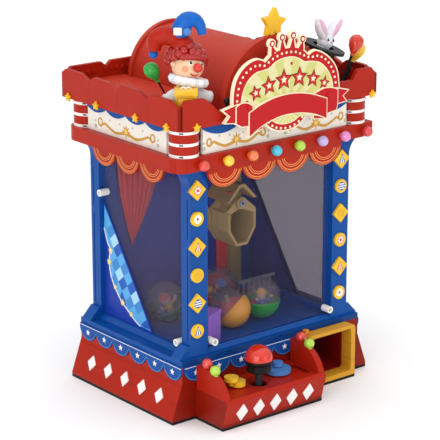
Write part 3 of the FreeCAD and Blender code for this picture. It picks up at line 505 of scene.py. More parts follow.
# ---- finishes of the CAD pieces
CAD_FINISHES = (
    (black, "base_plate stick_dish top_hat"),
    (red_wall, "base_shell"),
    (red_console, "console_shell"),
    (red, "console_cheeks column_cores"),
    (red_beam, "beam"),
    (red_parapet, "parapet"),
    (red_roof, "roof_deck vault"),
    (red_cloth, "drapes"),
    (dark_red, "prize_ramp coin_slot"),
    (gloss_red, "stick_ball"),
    (gold, "chute_frame"),
    (yellow, "yellow_crank_knob yellow_tiles roof_star gift_box"),
    (tan, "rear_column claw_head jaw_left jaw_right"),
    (blue, "skirt rear_posts front_posts sills frieze_valance"),
    (blue_deck, "deck"),
    (sand_blue, "blue_crank_knob"),
    (navy, "back_wall side_panels"),
    (white, "diamond_tiles window_pins column_rings clown_body clown_collar"),
    (cream, "frieze_panels"),
    (grey, "picket_fence claw_axle"),
    (dark_grey, "yellow_crank_shaft blue_crank_shaft stick_gimbal stick_shaft"),
    (dark_grey, "gantry_rails bridge trolley claw_mast"),
    (smoke, "window_front"),
    (side_smoke_and_painted_shade, "side_windows"),
    (clear, "capsule_caps"),
)


def finish_cad():
    for material, names in CAD_FINISHES:
        for name in names.split():
            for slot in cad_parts[name].material_slots:
                slot.material = material


# ---- printed and applied decoration
INK_RED, INK_WHITE, INK_BLUE, INK_PINK, INK_OCHRE = range(5)


def petals(face, x, z, count, reach, radius, top, material, start=0.3, rise=0.01, corners=10):
    """Round petals about a point, each a hair higher than the last where they overlap."""
    for k in range(count):
        middle = around(x, z, reach, start + 2 * pi * k / count)
        face.plate(circle(*middle, radius, corners), top + rise * k, material)


def print_tent(face, x, z, ink):
    """Five stripes that fan out from a small top, alternately white and coloured."""
    top, foot = z + 4.4, z - 4.2
    for k in range(5):
        left, right = 1.84 * k - 4.6, 1.84 * k - 2.76
        outline = [(x + left * 0.12, top), (x + left, foot), (x + right, foot), (x + right * 0.12, top)]
        face.plate(outline, 0.16, INK_WHITE if k % 2 else ink)
    face.plate(circle(x, top + 0.6, 0.9, 10), 0.18, ink)


def print_ball(face, x, z):
    face.plate(circle(x, z, 5.2, 24), 0.12, INK_BLUE)
    for level in (-2.6, 0, 2.6):
        half = sqrt(5 ** 2 - (abs(level) + 0.7) ** 2)
        band = [(x - half, z + level - 0.7), (x + half, z + level - 0.7),
                (x + half, z + level + 0.7), (x - half, z + level + 0.7)]
        face.plate(band, 0.18, INK_WHITE)


def print_rosette(face, x, z):
    face.plate(circle(x, z, 5, 24), 0.12, INK_PINK)
    petals(face, x, z, 6, 2.9, 1.25, 0.18, INK_WHITE, 0, 0)
    face.plate(circle(x, z, 1.4, 12), 0.2, INK_RED)


def print_flag(face, x, z):
    face.plate(circle(x, z, 4.9, 24), 0.12, INK_WHITE)
    face.plate([(x - 1.6, z + 2.6), (x + 2.2, z - 0.4), (x - 1.4, z - 1.4)], 0.18, INK_RED)


def print_rings(face, x, z):
    for k in range(3):
        ring = circle(x, z, 1.6 + 1.8 * k, 24)
        face.ribbon(ring + ring[:1], 0.35, 0.14, INK_OCHRE)


def tile_prints():
    """One motif on every tile of the two front posts, from the bottom up."""
    mesh = bmesh.new()
    face = on_front(mesh, -95.2)
    blue_tent = partial(print_tent, ink=INK_BLUE)
    red_tent = partial(print_tent, ink=INK_RED)
    columns = ((-107, (blue_tent, print_ball, print_rings, red_tent, print_flag, print_rosette)),
               (101.5, (print_flag, red_tent, print_rosette, print_rings, print_ball, blue_tent)))
    for x, motifs in columns:
        for row, motif in enumerate(motifs):
            motif(face, x, 101 + 32 * row)
    finish_piece("tile_prints", mesh, [ink_red, ink_white, ink_blue, ink_pink, ink_ochre])


SKIRT_NECK, SKIRT_DEPTH, SKIRT_PITCH = 58, 12, 32


def skirt_edge(start, count, keep=1):
    """Points along the skirt's scalloped lower edge, drawn in from the edge by keep."""
    radius = (SKIRT_PITCH ** 2 / 4 + SKIRT_DEPTH ** 2) / (2 * SKIRT_DEPTH)
    swing = asin(SKIRT_PITCH / 2 / radius)
    points = []
    for index in range(count):
        middle = start + SKIRT_PITCH * (index + 0.5)
        for k in range(13):
            angle = -pi / 2 - swing + 2 * swing * k / 12
            points.append(around(middle, SKIRT_NECK - SKIRT_DEPTH + radius, radius - keep, angle))
    return points


def skirt_prints():
    """A white star in every scallop, with a light line along the edge and a white one on top."""
    mesh = bmesh.new()
    runs = ((on_front(mesh, -97.6), -128, 5), (on_left(mesh, -131.6), -96, 6),
            (on_right(mesh, 131.6), -96, 6), (on_back(mesh, 97.6), -128, 8))
    for face, start, count in runs:
        for index in range(count):
            face.plate(star_outline(start + SKIRT_PITCH * (index + 0.5), 55.5, 3.9), 0.2)
        face.ribbon(skirt_edge(start, count), 0.45, 0.16, 1)
        face.ribbon([(start, 62.6), (start + SKIRT_PITCH * count, 62.6)], 0.6, 0.2, 0)
    finish_piece("skirt_prints", mesh, [ink_white, ink_light_blue])


DRAPE_TOP, DRAPE_HEIGHT = 280.5, 21


def drape_point(middle, pitch, size, degrees):
    """A point on the lower half of an oval, as a share of the drape's own size."""
    return (middle + pitch / 2 * size * cos(radians(degrees)),
            DRAPE_TOP - DRAPE_HEIGHT * size * sin(radians(degrees)))


def drape_prints():
    """Three light arcs and a fringe of short strokes on every drape."""
    mesh = bmesh.new()
    runs = ((on_front(mesh, -99), -96, 4, 48), (on_back(mesh, 99), -96, 4, 48),
            (on_left(mesh, -123), -76, 3, 44), (on_right(mesh, 123), -56, 3, 44))
    for face, start, count, pitch in runs:
        for index in range(count):
            point = partial(drape_point, start + pitch * (index + 0.5), pitch)
            for size, width in ((0.82, 0.75), (0.66, 0.65), (0.56, 0.65)):
                face.ribbon([point(size, 12 + 6 * k) for k in range(27)], width, 0.25)
            for k in range(35):
                degrees = 10 + 160 * k / 34
                face.ribbon([point(0.87, degrees), point(0.955, degrees)], 0.5, 0.22)
    finish_piece("drape_prints", mesh, [ink_orange])


GARLAND = [(-45.5, 311.5), (-44.5, 314.5), (-47.5, 317), (-51, 315.5), (-51.5, 311), (-47, 309),
           (-40, 312.5), (-31, 309), (-20, 306), (-10, 307), (0, 310.5)]


def garland(face, middle, stretch):
    """A gold ribbon with curled ends that hangs on both sides of a star burst."""
    for side in (-1, 1):
        half = [(middle + side * stretch * u, v) for u, v in GARLAND]
        face.ribbon(smooth_line(half), lambda t: 1.5 + 1.7 * t, 0.26, 2)
        face.ribbon(smooth_line(half), lambda t: 0.9 + 1.3 * t, 0.32, 0)
        leaves = ((-57, 307, 2.4), (-57.5, 313, 1.5), (-30, 318, 1.3), (-12, 317, 1.2))
        for u, v, size in leaves:
            face.plate(circle(middle - side * stretch * u, v, size, 12), 0.2, 1)
    face.plate(star_outline(middle, 311, 7.4, 8, 0.45), 0.45)
    face.plate(star_outline(middle, 311, 3.6, 8, 0.5), 0.55, 3)


def frieze_prints():
    """One garland on each side panel and two on the front and rear ones."""
    mesh = bmesh.new()
    for face in (on_left(mesh, -131), on_right(mesh, 131)):
        garland(face, 0, 1)
    for face in (on_front(mesh, -99), on_back(mesh, 99)):
        for middle in (-57, 57):
            garland(face, middle, 0.78)
    finish_piece("frieze_prints", mesh, [ink_gold, ink_sage, ink_ochre, ink_yellow])


CORD = [(75, 180), (69, 164), (64, 156), (66, 142), (64, 128), (58, 116), (50, 106), (42, 98), (34, 93),
        (26, 88), (18, 83), (8, 78.5)]
LIGHT, MIDDLE, DARK, CORD_WHITE, ICE, FLOWER = range(6)


def cord_at(z):
    """How far back the printed cord lies at a height."""
    for (y0, z0), (y1, z1) in zip(CORD, CORD[1:]):
        if z1 <= z <= z0:
            return y1 + (y0 - y1) * (z - z1) / (z0 - z1)
    return CORD[0][0] if z > CORD[0][1] else CORD[-1][0]


def tile_tone(row, column):
    """The ink of one tile of the chequered pattern, or None where the light field shows."""
    if (row + column) % 2 == 0:
        return DARK if row % 4 in (0, 3) else MIDDLE
    return ICE if row % 3 == 0 else None


def lozenges(face, mirror):
    """Blue tiles in four tones between a panel's sloping edge and its printed cord."""
    field = [(74, 207), (-11.5, 78), (9, 79)] + CORD[-2::-1] + [(75, 184)]
    face.plate([(mirror * y, z) for y, z in field], 0.12, LIGHT)
    top, bottom, rows = Vector((73, 207)), Vector((-10.5, 80)), 13
    along, across = (bottom - top) / rows, Vector((10.3, -8.5))
    for row in range(rows):
        for column in range(5):
            tone = tile_tone(row, column)
            corner = top + along * row + across * column
            centre = corner + (along + across) / 2
            if tone is None or centre.x > cord_at(centre.y) - 1:
                continue
            corners = (corner, corner + across, corner + across + along, corner + along)
            tile = [(mirror * min(y, cord_at(z) - 0.4), max(z, 79)) for y, z in corners]
            face.plate(tile, 0.2, tone)


def side_panel_prints():
    """Blue diamonds, and a white cord printed with small flowers, on both navy side panels."""
    mesh = bmesh.new()
    flowers = ((66, 141, 3.6), (55, 113, 2.9), (41, 98, 3.6), (25, 88, 2.9), (63, 155, 3.6))
    for face, mirror in ((on_left(mesh, -109.4), -1), (on_right(mesh, 109.4), 1)):
        lozenges(face, mirror)
        face.ribbon(smooth_line([(mirror * y, z) for y, z in CORD]), 1.5, 0.34, CORD_WHITE)
        for y, z, size in flowers:
            petals(face, mirror * y, z, 5, size * 0.55, size * 0.48, 0.44, FLOWER)
            face.plate(circle(mirror * y, z, size * 0.32, 10), 0.6, CORD_WHITE)
    inks = [ink_light_blue, ink_mid_blue, ink_blue, ink_white, ink_ice_blue, ink_yellow]
    finish_piece("side_panel_prints", mesh, inks)


def column_notches():
    """Black boxes in the white rings that paint the shade inside their slots, and a black ball knob on the
    low wall beside the sign.
    """
    mesh = bmesh.new()
    for x, y, z, bearing in product((-120, 120), (-88, 88), (302.6, 315.4, 328.2), (-138, -48)):
        centre = (*around(x, y, 15.7, radians(bearing)), z)
        # painted shade: a black box stands for the dark inside of each slot
        soft_box(mesh, centre, (1.6, 4.6, 1.5), bearing, 0.2)
    lathe(mesh, [(1.8, 0), (1.8, 8)], (-75, -105, 346), UP, 16)
    ball(mesh, (-75, -105, 356.4), 3.6)
    finish_piece("column_notches", mesh, [black], 50)


def parapet_studs():
    """Rows of studs on the inner faces of the rear and side walls of the parapet."""
    mesh = bmesh.new()
    profile = [(0, 0), (2.4, 0), (2.4, 1.4), (2.1, 1.7), (0, 1.7)]
    for k in range(32):
        x = -124 + 8 * k
        if (k + 3) % 7:
            lathe(mesh, profile, (x, 103, 357), (0, -1, 0), 14)
    for side in (-1, 1):
        for k in range(24):
            if (k + 2) % 6:
                lathe(mesh, profile, (side * 137, -88 + 8 * k, 355), (-side, 0, 0), 14)
    finish_piece("parapet_studs", mesh, [red], 30)


def console_marks():
    """Dark direction marks round the joystick and a small orange hook beside the chute."""
    mesh = bmesh.new()
    face = Face(mesh, lambda u, v, w: (u, v, CONSOLE_TOP + w))
    for degrees in (0, 90, 180):
        angle = radians(degrees)
        x, y = around(*STICK_PLACE, 15.5, angle)
        corners = ((1.8, 0), (1.6155, 1.9513), (1.6155, -1.9513))
        face.plate([around(x, y, reach, angle + turn) for reach, turn in corners], 0.2)
    soft_box(mesh, (43, -103, 68.2), (6, 6, 5.4), 0, 0.9, 1)
    finish_piece("console_marks", mesh, [black, orange_block])


# ---- lamps and curtains
LAMP_COLOURS = ("d43a2c", "f4c52e", "e8743c", "38b6cf", "a8cf3a", "b7a8dc", "dd86c0", "cf3a3a")


def lamp_globes():
    """Pearly globes with a short ribbed collar: eight on the beam and two on each cheek."""
    mesh = bmesh.new()
    profile = [(0, -7.2), (3, -7.2), (3, -6.2), (3.5, -6), (3.5, -5), (3, -4.8), (3.2, -4.6)]
    profile += ball_profile(6, 14, low=-0.80)
    for index in range(8):
        x = -110 + 33.7 * index
        lathe(mesh, profile, (x, -110.2, 292), (0, -1, 0), 28, index)
    for x in (-108, 28):
        lathe(mesh, profile, (x, -126, 64.5), UP, 28, 4)
        lathe(mesh, profile, (x, -112, 68.5), UP, 28, 0)
    materials = [pearl("lamp_%d" % (k + 1), colour) for k, colour in enumerate(LAMP_COLOURS)]
    finish_piece("lamp_globes", mesh, materials, 40, ["lamps"])


def pleats(mesh, point, columns=66, rows=24):
    """A sheet of quads; point(across, down) is the place at two fractions of its width and height."""
    grid = [[mesh.verts.new(point(k / columns, row / rows)) for k in range(columns + 1)]
            for row in range(rows + 1)]
    for low, high in zip(grid, grid[1:]):
        for k in range(columns):
            mesh.faces.new((low[k], low[k + 1], high[k + 1], high[k]))


def curtains():
    """A pleated strip beside the rear column, and a pointed swag gathered towards its tip."""
    top_left, top_right, tip = Vector((-88, 262)), Vector((-25, 262)), Vector((-67, 150))

    def strip_point(across, up):
        pleat = sin(2 * pi * 4.5 * across + 0.3 * sin(12 * up))
        return 58.6 + 14.8 * across, 79 - 1.7 * pleat, 74.5 + 187.5 * up

    def swag_point(across, down):
        belly = sin(pi * down)
        left = top_left.lerp(tip, down) - Vector((4 * belly, 0))
        right = top_right.lerp(tip, down) + Vector((9 * belly, 0))
        here = left.lerp(right, across)
        return here.x, 79.6 - sin(2 * pi * 7 * across) * (1.9 - 1.5 * down), here.y

    mesh = bmesh.new()
    pleats(mesh, strip_point)
    pleats(mesh, swag_point)
    bmesh.ops.remove_doubles(mesh, verts=mesh.verts, dist=0.02)
    piece = finish_piece("curtain_pleats", mesh, [curtain_red], 60, ["curtains"])
    thicken = piece.modifiers.new("thickness", "SOLIDIFY")
    thicken.thickness = 1 * MM
    thicken.offset = 0


# ---- sign
SIGN_FACE = -113


def sign():
    """A marquee board: cream plates edged in red, and a rayed field with everything that lies on it."""
    mesh = bmesh.new()
    face = on_front(mesh, SIGN_FACE)
    left_half = [(-71, 331), (-75, 342), (-77.5, 358), (-74.5, 377), (-66, 390), (-54.5, 397.5),
                 (-43, 400), (-34.5, 397.5), (-32.5, 396)]
    middle = [(-24, 403), (-12, 406.5), (-1, 407.3), (10, 406.5), (21, 402.5), (29.5, 395.5)]
    right_half = [(31.5, 397), (40, 399), (52, 394), (64.5, 384), (72.5, 371), (75.5, 352), (73.5, 338),
                  (69, 326)]
    arch = smooth_line(left_half) + smooth_line(middle)[1:] + smooth_line(right_half)[1:]
    foot = circle(-2.5, 335, 31.5, 48, 0.66)
    field = smooth_line([(-63, 330), (-65.5, 345), (-64, 362), (-57, 376), (-46, 384), (-36, 385.5),
                         (-27, 387), (-18, 392.5), (-7, 395.2), (5, 395.2), (15, 392), (23, 387.5),
                         (33, 386.5), (46, 383), (57, 373), (63.5, 360), (65, 345), (62, 328)])
    for outline, top in ((arch, 4), (foot, 3.9)):
        face.plate(outline, top)
        face.plate(inset(outline, 1.7), top + 0.35, 1, 0.5)
    face.plate(inset(field, -0.9), 4.5, 0, 1)
    face.plate(field, 4.6, 2, 1)
    face.plate(circle(-2.5, 335.5, 22.5, 40, 0.58), 4.66, 0, 1.1)
    face.plate(circle(-2.5, 335.5, 21.7, 40, 0.57), 4.72, 2, 1.1)
    crown(face)
    bulbs(face)
    star_row(face)
    folded_ribbon(face)
    for x, z in ((-55.8, 348.5), (57.4, 346.9)):
        lathe(mesh, [(2.9, 0), (2.9, 0.8), (2.4, 1.7), (1.4, 2.3), (0, 2.5)],
              (x, SIGN_FACE - 5.9, z), (0, -1, 0), 20, 1)
    finish_piece("sign_marquee", mesh, [sign_cream, sign_red, sign_field, ink_dark_red, ink_red],
                 35, ["sign_board"])


def crown(face):
    """Four spikes, each with a ringed ball at its tip, and three small bulbs below them."""
    for x, z, foot_x in ((-22.8, 413.3, -19), (-8.6, 418.3, -7.5), (6.9, 418.6, 5.5), (20.5, 413.1, 17)):
        spike = [(foot_x - 6.8, 402), (foot_x + 6.8, 402), (x + 1.7, z), (x - 1.7, z)]
        face.plate(spike, 3.9)
        inner = [(foot_x - 4.8, 401), (foot_x + 4.8, 401), (x + 0.6, z - 3), (x - 0.6, z - 3)]
        face.plate(inner, 4.25, 1, 0.5)
        face.plate(circle(x, z, 5, 24), 4)
        face.plate(circle(x, z, 3.6, 24), 4.4, 1, 0.5)
        face.plate(circle(x, z, 2, 18), 4.6, 0, 1)
    for x, z in ((-19, 403), (-13.5, 405.5), (13, 405)):
        face.plate(circle(x, z, 0.8, 8), 4.7, 0, 1)


def bulbs(face):
    """White bulbs round the board's edge and round its foot."""
    border = smooth_line([(-70.5, 338), (-71.5, 350), (-70.5, 365), (-66, 379), (-57, 388), (-44, 392.8),
                          (-33.5, 391), (-24, 396), (-10, 400.8), (0, 401.2), (11, 400), (22, 395),
                          (31, 391.5), (41, 392), (52, 387.5), (61.5, 378), (67.5, 365), (69.8, 350),
                          (69, 338)], 12)
    spread_dots(face, border)
    angles = [radians(205 + 3.25 * k) for k in range(41)]
    foot_border = [(-2.5 + 27 * cos(angle), 335.3 + 17.2 * sin(angle)) for angle in angles]
    spread_dots(face, foot_border)


def star_row(face):
    """Six large stars where a word would stand, and three small ones in the field."""
    stars = ((-46, 363, 9.6, 14), (-27.5, 368.5, 11.4, 7), (-6.5, 372, 12.8, 0), (15.5, 371.8, 12.4, -4),
             (35.5, 367.6, 10.8, -9), (52, 360.5, 8.4, -14))
    for x, z, size, tilt in stars:
        for share, top, ink in ((1, 4.85, 3), (0.80, 5, 4), (0.36, 5.1, 0)):
            face.plate(star_outline(x, z, size * share, 5, 0.47, tilt), top, ink, 1.5)
    for x, z in ((-58, 355), (58.5, 350.5), (4.5, 388.5)):
        face.plate(star_outline(x, z, 2.6), 4.8, 1, 1.5)


def spread_dots(face, line, spacing=6.6):
    """White bulbs at even spacing along a line."""
    travelled, due = 0, 0
    for here, after in zip(line, line[1:]):
        step = dist(here, after)
        while due <= travelled + step:
            t = (due - travelled) / step
            x, z = here[0] + (after[0] - here[0]) * t, here[1] + (after[1] - here[1]) * t
            face.plate(circle(x, z, 1.35, 14), 4.75, 0, 1)
            due += spacing
        travelled += step


def folded_ribbon(face):
    """The folded ribbon: two swallow tails, two folds and the curved middle band."""
    tails = ([(-92, 350.5), (-70, 355), (-70, 333), (-89, 335.5), (-82, 342.5)],
             [(90, 347.5), (69, 353), (69, 333), (87.5, 334.5), (81, 341.5)])
    folds = ([(-74, 333)] + smooth_line([(-74, 352), (-66, 355.5), (-57, 354.5), (-50, 350)], 4)
             + [(-50, 326), (-57, 328), (-66, 328.5)],
             smooth_line([(36, 351), (50, 355), (62, 354.5), (72, 351)], 4)
             + [(72, 333), (70, 327), (56, 325), (40, 327)])
    band = (smooth_line([(-57, 343.5), (-42, 350), (-24, 354.8), (-6, 356.6), (12, 355.8), (32, 351.8),
                         (55, 343.5)], 5)
            + smooth_line([(55, 319), (40, 326), (24, 330.5), (6, 332.8), (-12, 332.4), (-30, 328.6),
                           (-44, 323), (-57, 315.5)], 5))
    hems = ([(-56, 322), (-56, 317), (-36, 322.5), (-36, 327)], [(54, 324), (54, 319), (36, 322), (36, 327)])
    for outline, low in ((tails[0], 0), (tails[1], 0), (hems[0], 0.6), (hems[1], 0.6),
                         (folds[0], 1.2), (folds[1], 1.2), (band, 2.4)):
        face.plate(outline, low + 4.6, 0, low)
        face.plate(inset(outline, 1.1), low + 4.9, 1, low + 0.5)


# ---- roof figures
HEAD = Vector((-101.2, -71.2, 393.1))
HEAD_R = 17.5
FACE_TURN, HEAD_ROLL, HORN_TURN = radians(-96), radians(14), radians(-45)
AHEAD = Vector((cos(FACE_TURN), sin(FACE_TURN), 0))
ASIDE = Matrix.Rotation(-HEAD_ROLL, 3, AHEAD) @ Vector((-AHEAD.y, AHEAD.x, 0))
ABOVE = AHEAD.cross(ASIDE)
ALONG_HORNS = Vector((cos(HORN_TURN), sin(HORN_TURN), 0))


def by_head(reach, aside, height):
    """A point ahead of, to the side of and above the middle of the clown's tilted head."""
    return HEAD + AHEAD * reach + ASIDE * aside + ABOVE * height


def by_hat(reach, height, out=0):
    """A point along the line of the two horns, above the head's middle and out to the front left."""
    return HEAD + ALONG_HORNS * reach + Vector((-0.707, -0.707, 0)) * out + Vector((0, 0, height))


def on_face(turn, lift, out=0):
    """A point on the head's surface, turned sideways and lifted from straight ahead, in degrees."""
    a, b = radians(turn), radians(lift)
    reach = HEAD_R + out
    return by_head(reach * cos(b) * cos(a), reach * cos(b) * sin(a), reach * sin(b))


def face_disc(mesh, turn, lift, radius, out, material, stretch=1):
    """A shallow dome that sits on the head, such as an eye or a cheek."""
    normal = (on_face(turn, lift, 1) - on_face(turn, lift)).normalized()
    profile = [(radius, -0.5), (radius * 0.92, 0.35 * out), (radius * 0.6, 0.8 * out), (0, out)]
    lathe(mesh, profile, on_face(turn, lift), normal, 18, material,
          lambda angle, row: 1 + (stretch - 1) * abs(sin(angle)))


def clown_face():
    """A plain doll's head: calm, evenly spaced features and a round red nose."""
    mesh = bmesh.new()
    ball(mesh, HEAD, HEAD_R, 0, count=40)
    for side in (-1, 1):
        face_disc(mesh, side * 24, 15, 2.3, 0.45, 1, 1.3)
        face_disc(mesh, side * 24, 15, 1.6, 0.8, 2, 1.3)
        # painted glint: a small white dot high on each pupil
        face_disc(mesh, side * 24 + 2, 18, 0.5, 1.1, 1)
        face_disc(mesh, side * 40, -12, 3.4, 0.35, 4)
        brow = [on_face(side * (17 + 4 * k), 25 + 4 * sin(pi * k / 4), 0.2) for k in range(5)]
        tube(mesh, brow, 0.5, 8, 5)
        ball(mesh, by_head(-1, side * (HEAD_R - 0.2), -1), 3.2, 0)
    smile = [on_face(-18 + 4 * k, -22 - 7 * sin(pi * k / 9), 0.25) for k in range(10)]
    tube(mesh, smile, lambda t: 0.5 + 0.6 * sin(pi * t), 8, 3)
    ball(mesh, by_head(HEAD_R + 2.4, 0, 0.5), 5.2, 3, count=24)
    materials = [light_skin, white, black, gloss_red, blush, brow_brown]
    finish_piece("clown_face", mesh, materials, 60, ["clown_head"])


def bent_horn(mesh, path, radii, material):
    """A felt-like horn of the hat through these places, with a radius at each and raised seams."""
    line = [Vector(point) for point in smooth_line([by_hat(*place) for place in path], 5)]
    widths = [entry[0] for entry in smooth_line([(radius, 0) for radius in radii], 5)]
    tube(mesh, line, lambda t: widths[round(t * (len(widths) - 1))], 20, material)
    for share in (0.35, 0.65):
        k = int(share * (len(line) - 1))
        ahead = (line[k + 1] - line[k]).normalized()
        reach = widths[k] + 0.25
        lathe(mesh, [(reach - 0.8, -0.5), (reach, -0.3), (reach, 0.3), (reach - 0.8, 0.5)],
              line[k], ahead, 20, material)


def clown_hair_and_hat():
    """Curls in a cap over the head, and a jester's hat with a red and a blue horn."""
    mesh = bmesh.new()
    random = Random(7)
    rows = ((-6, 16, 20.4), (8, 17, 21.2), (22, 16, 21.6), (37, 13, 21.4), (54, 9, 20.8), (72, 5, 20))
    for lift, count, reach in rows:
        for k in range(count):
            turn = 360 * k / count + 9 * random.random()
            facing = (turn + 180) % 360 - 180
            if abs(facing) < 62 and lift < 34 or abs(facing) < 100 and lift < 0:
                continue
            a, b = radians(turn), radians(lift + 4 * random.random())
            curl = by_head(reach * cos(b) * cos(a) * 0.95 - 1,
                           reach * cos(b) * sin(a) * 0.90 - 2.2, reach * sin(b) + 2.4)
            ball(mesh, curl, 3.9 + 0.8 * random.random(), 0, count=12)
    for index, lift in enumerate((27, 31, 34, 36, 37, 37, 36, 33, 28)):
        ball(mesh, on_face(14 * (index - 4), lift, 1.6), 4, 0, 12)
    ball(mesh, by_head(-2, 0, 6), 17.8, 0, count=28)
    lathe(mesh, [(12.6, 0), (13.2, 2.5), (12, 6.5), (8, 10), (0, 12)], by_hat(-6, 21), UP, 30, 1)
    red_horn = ((-5, 24.5), (-14.5, 29.5), (-25, 31.5), (-32.5, 28), (-35.3, 21.6), (-35.3, 15))
    blue_horn = ((-9, 31), (-6.5, 40), (-0.5, 47.5), (7.5, 48.5), (13.6, 42.5), (15.6, 33.5))
    bent_horn(mesh, red_horn, (8.6, 9.8, 10.2, 9.8, 8.6, 6.8), 1)
    bent_horn(mesh, blue_horn, (8.6, 10, 9.8, 7.8, 5.8, 4.4), 2)
    ball(mesh, by_hat(-36.5, 11), 4.9, 2, 22)
    ball(mesh, by_hat(0.5, 37.5, 8.5), 4.4, 4, 18)
    soft_box(mesh, by_hat(-9, 38, 10), (9, 4, 8), -45, 1.2, 3)
    materials = [hair_red, red, blue_cloth, cream, sand_blue]
    finish_piece("clown_hair_and_hat", mesh, materials, 50, ["clown_hat"])


def clown_clothes():
    """A ruffled collar, a plain body, and puffed sleeves with cuffs that end in a black button."""
    mesh = bmesh.new()
    collar = [(9, -6.5), (15, -6), (20, -3.5), (21.6, 0.5), (20, 4), (14, 4.6), (8, 2.5)]
    lathe(mesh, collar, HEAD + Vector((0.5, -0.5, -16.5)), (0.22, 0, 1), 96, 0,
          lambda turn, row: 1 + 0.055 * sin(12 * turn) * (0.2 if row in (0, 6) else 1))
    torso = [(0, 0), (13.2, 0), (13.6, 8), (12.6, 18), (11, 27), (9.5, 38), (0, 38.5)]
    lathe(mesh, torso, (-102.3, -69, 336.2), UP, 32, 0)
    for start, end in (((-95, -72.5, 361), (-80.5, -80, 356.5)),
                       ((-111.5, -66, 361), (-123, -64.5, 357))):
        start, end = Vector(start), Vector(end)
        axis = end - start
        reach = axis.length
        sleeve = [(0, -7.5), (5, -6), (7.6, -1.5), (8.3, 3), (8, reach * 0.55), (6.9, reach - 1),
                  (7.6, reach + 0.5), (7.2, reach + 2.6), (4.6, reach + 4.6), (0, reach + 5)]
        lathe(mesh, sleeve, start, axis, 48, 0, lambda turn, row: 1 + 0.02 * sin(8 * turn))
        lathe(mesh, [(1.2, 0), (1.2, 0.9), (0, 1.1)], end + axis.normalized() * 4.2, axis, 14, 1)
    finish_piece("clown_clothes", mesh, [soft_white, black], 60, ["clown_body", "clown_collar"])


def parcel():
    """The yellow parcel: a framed front with a white flower, an overlapping lid and a bow."""
    mesh = bmesh.new()
    centre = Vector((-116.5, -87.8, 360.8))
    soft_box(mesh, centre - Vector((0, 0, 7.5)), (22.4, 20.4, 30), -39, 0.8)
    soft_box(mesh, centre + Vector((0, 0, 9)), (25, 22.6, 6.2), -39, 0.9)
    turn = Matrix.Rotation(radians(-39), 4, "Z")

    def side_face(u, v, w):
        return centre + turn @ Vector((u, -10.2 - w, v))

    face = Face(mesh, side_face)
    frame_line = [(-9.4, 4.2), (9.4, 4.2), (9.4, -14), (-9.4, -14), (-9.4, 4.2)]
    for near, far in zip(frame_line, frame_line[1:]):
        face.ribbon([near, far], 0.9, 0.5, 2)
    petals(face, 0, -3.4, 5, 2.6, 2.1, 0.5, 1, rise=0.02, corners=12)
    face.plate(circle(0, -3.4, 1.5, 12), 0.8)
    for side in (-1, 1):
        loop = [centre + turn @ Vector((side * 5.2 * sin(pi * k / 10), -1.2,
                                        11.6 + 2.2 * sin(2 * pi * k / 10 + 0.4)))
                for k in range(11)]
        tube(mesh, loop, 0.9, 8, 1)
    finish_piece("parcel", mesh, [yellow, white, gold], 40, ["gift_box"])


def ear_radius(size, along):
    """An ear is widest a little past its middle and narrows to a rounded tip."""
    taper = 1 - max(0, along - 0.8) * 3.2
    return size * (1.4 + 5 * sin(pi * min(along * 0.62 + 0.25, 1)) * taper)


def rabbit():
    """A toy rabbit in the hat: rounded cheeks, long ears with pink insides, ringed eyes."""
    mesh = bmesh.new()
    rim, axis = Vector((88, -74, 387)), Vector((0.253, -0.205, 0.9455))
    head = rim + axis * 8
    facing = Vector((0.15, -0.97, 0.15)).normalized()
    across = facing.cross(axis).normalized()
    lathe(mesh, [(7.6, -20), (8.2, -6), (7.4, 2), (5, 5), (0, 6)], rim, axis, 24, 0)
    lathe(mesh, ball_profile(9, 12, stretch=0.92), head, axis, 28, 0,
          lambda turn, row: 1 + 0.06 * cos(2 * turn))
    for side in (-1, 1):
        ball(mesh, head + across * side * 2.6 + facing * 7 - axis * 2.2, 3.1, 0, count=16)
        eye = head + across * side * 4.4 + facing * 7.2 + axis * 1.8
        lathe(mesh, [(2.5, -1), (2.5, 0.3), (2, 0.8), (0, 1)], eye, facing, 18, 0)
        lathe(mesh, [(1.8, 0.2), (1.8, 0.9), (1.3, 1.4), (0, 1.6)], eye, facing, 18, 1)
        # painted glint: a small white dot on each black eye
        lathe(mesh, [(0.6, 1.2), (0.5, 1.8), (0, 1.9)], eye + axis * 0.7, facing, 10, 0)
    ball(mesh, head + facing * 9.8 - axis * 0.8, 1.5, 2, count=14)
    for lean in (Vector((-0.45, -0.1, 0.9)).normalized(), Vector((0.68, -0.1, 0.80)).normalized()):
        for material, size, out, low, high in ((0, 1, 0, 0, 1), (2, 0.68, 2.7, 0.14, 0.92)):
            path = [head + lean * (5 + 27.5 * (low + (high - low) * k / 12)) + facing * out
                    for k in range(13)]
            tube(mesh, path, partial(ear_radius, size), 16, material)
    finish_piece("rabbit_figure", mesh, [soft_white, black, ear_pink], 60, ["rabbit"])


def balloons():
    """Three balloons with a nipple, a knot and a dark stick."""
    mesh = bmesh.new()
    places = (((-126, -40, 386), (-102, -40, 348), 0),
              ((124.6, -90, 392), (98, -90, 336), 1),
              ((137, -80, 380.5), (109, -80, 336), 2))
    profile = [(0, -9), (1.1, -8.7), (1.4, -8.2), (3.4, -7.8), (6.2, -6), (8, -3.2), (8.5, 0),
               (8.1, 3.2), (6.8, 6.6), (4.8, 10), (2.9, 12.8), (1.9, 14.2), (2.5, 15.4), (2.4, 16.2),
               (0, 16.4)]
    for centre, foot, material in places:
        centre, foot = Vector(centre), Vector(foot)
        down = (foot - centre).normalized()
        lathe(mesh, profile, centre, down, 32, material)
        for offset in (-0.9, 0.9) if material else (0,):
            ends = [point + Vector((0, offset, 0)) for point in (centre + down * 13, foot)]
            tube(mesh, ends, 0.95, 10, 3)
        lathe(mesh, [(3, 0), (3, 2.2), (2, 3.6), (1.4, 5), (0, 5.2)], foot, UP, 20, 3)
    finish_piece("balloon_bunch", mesh, [green, balloon_red, balloon_yellow, black],
                 50, ["balloons"])


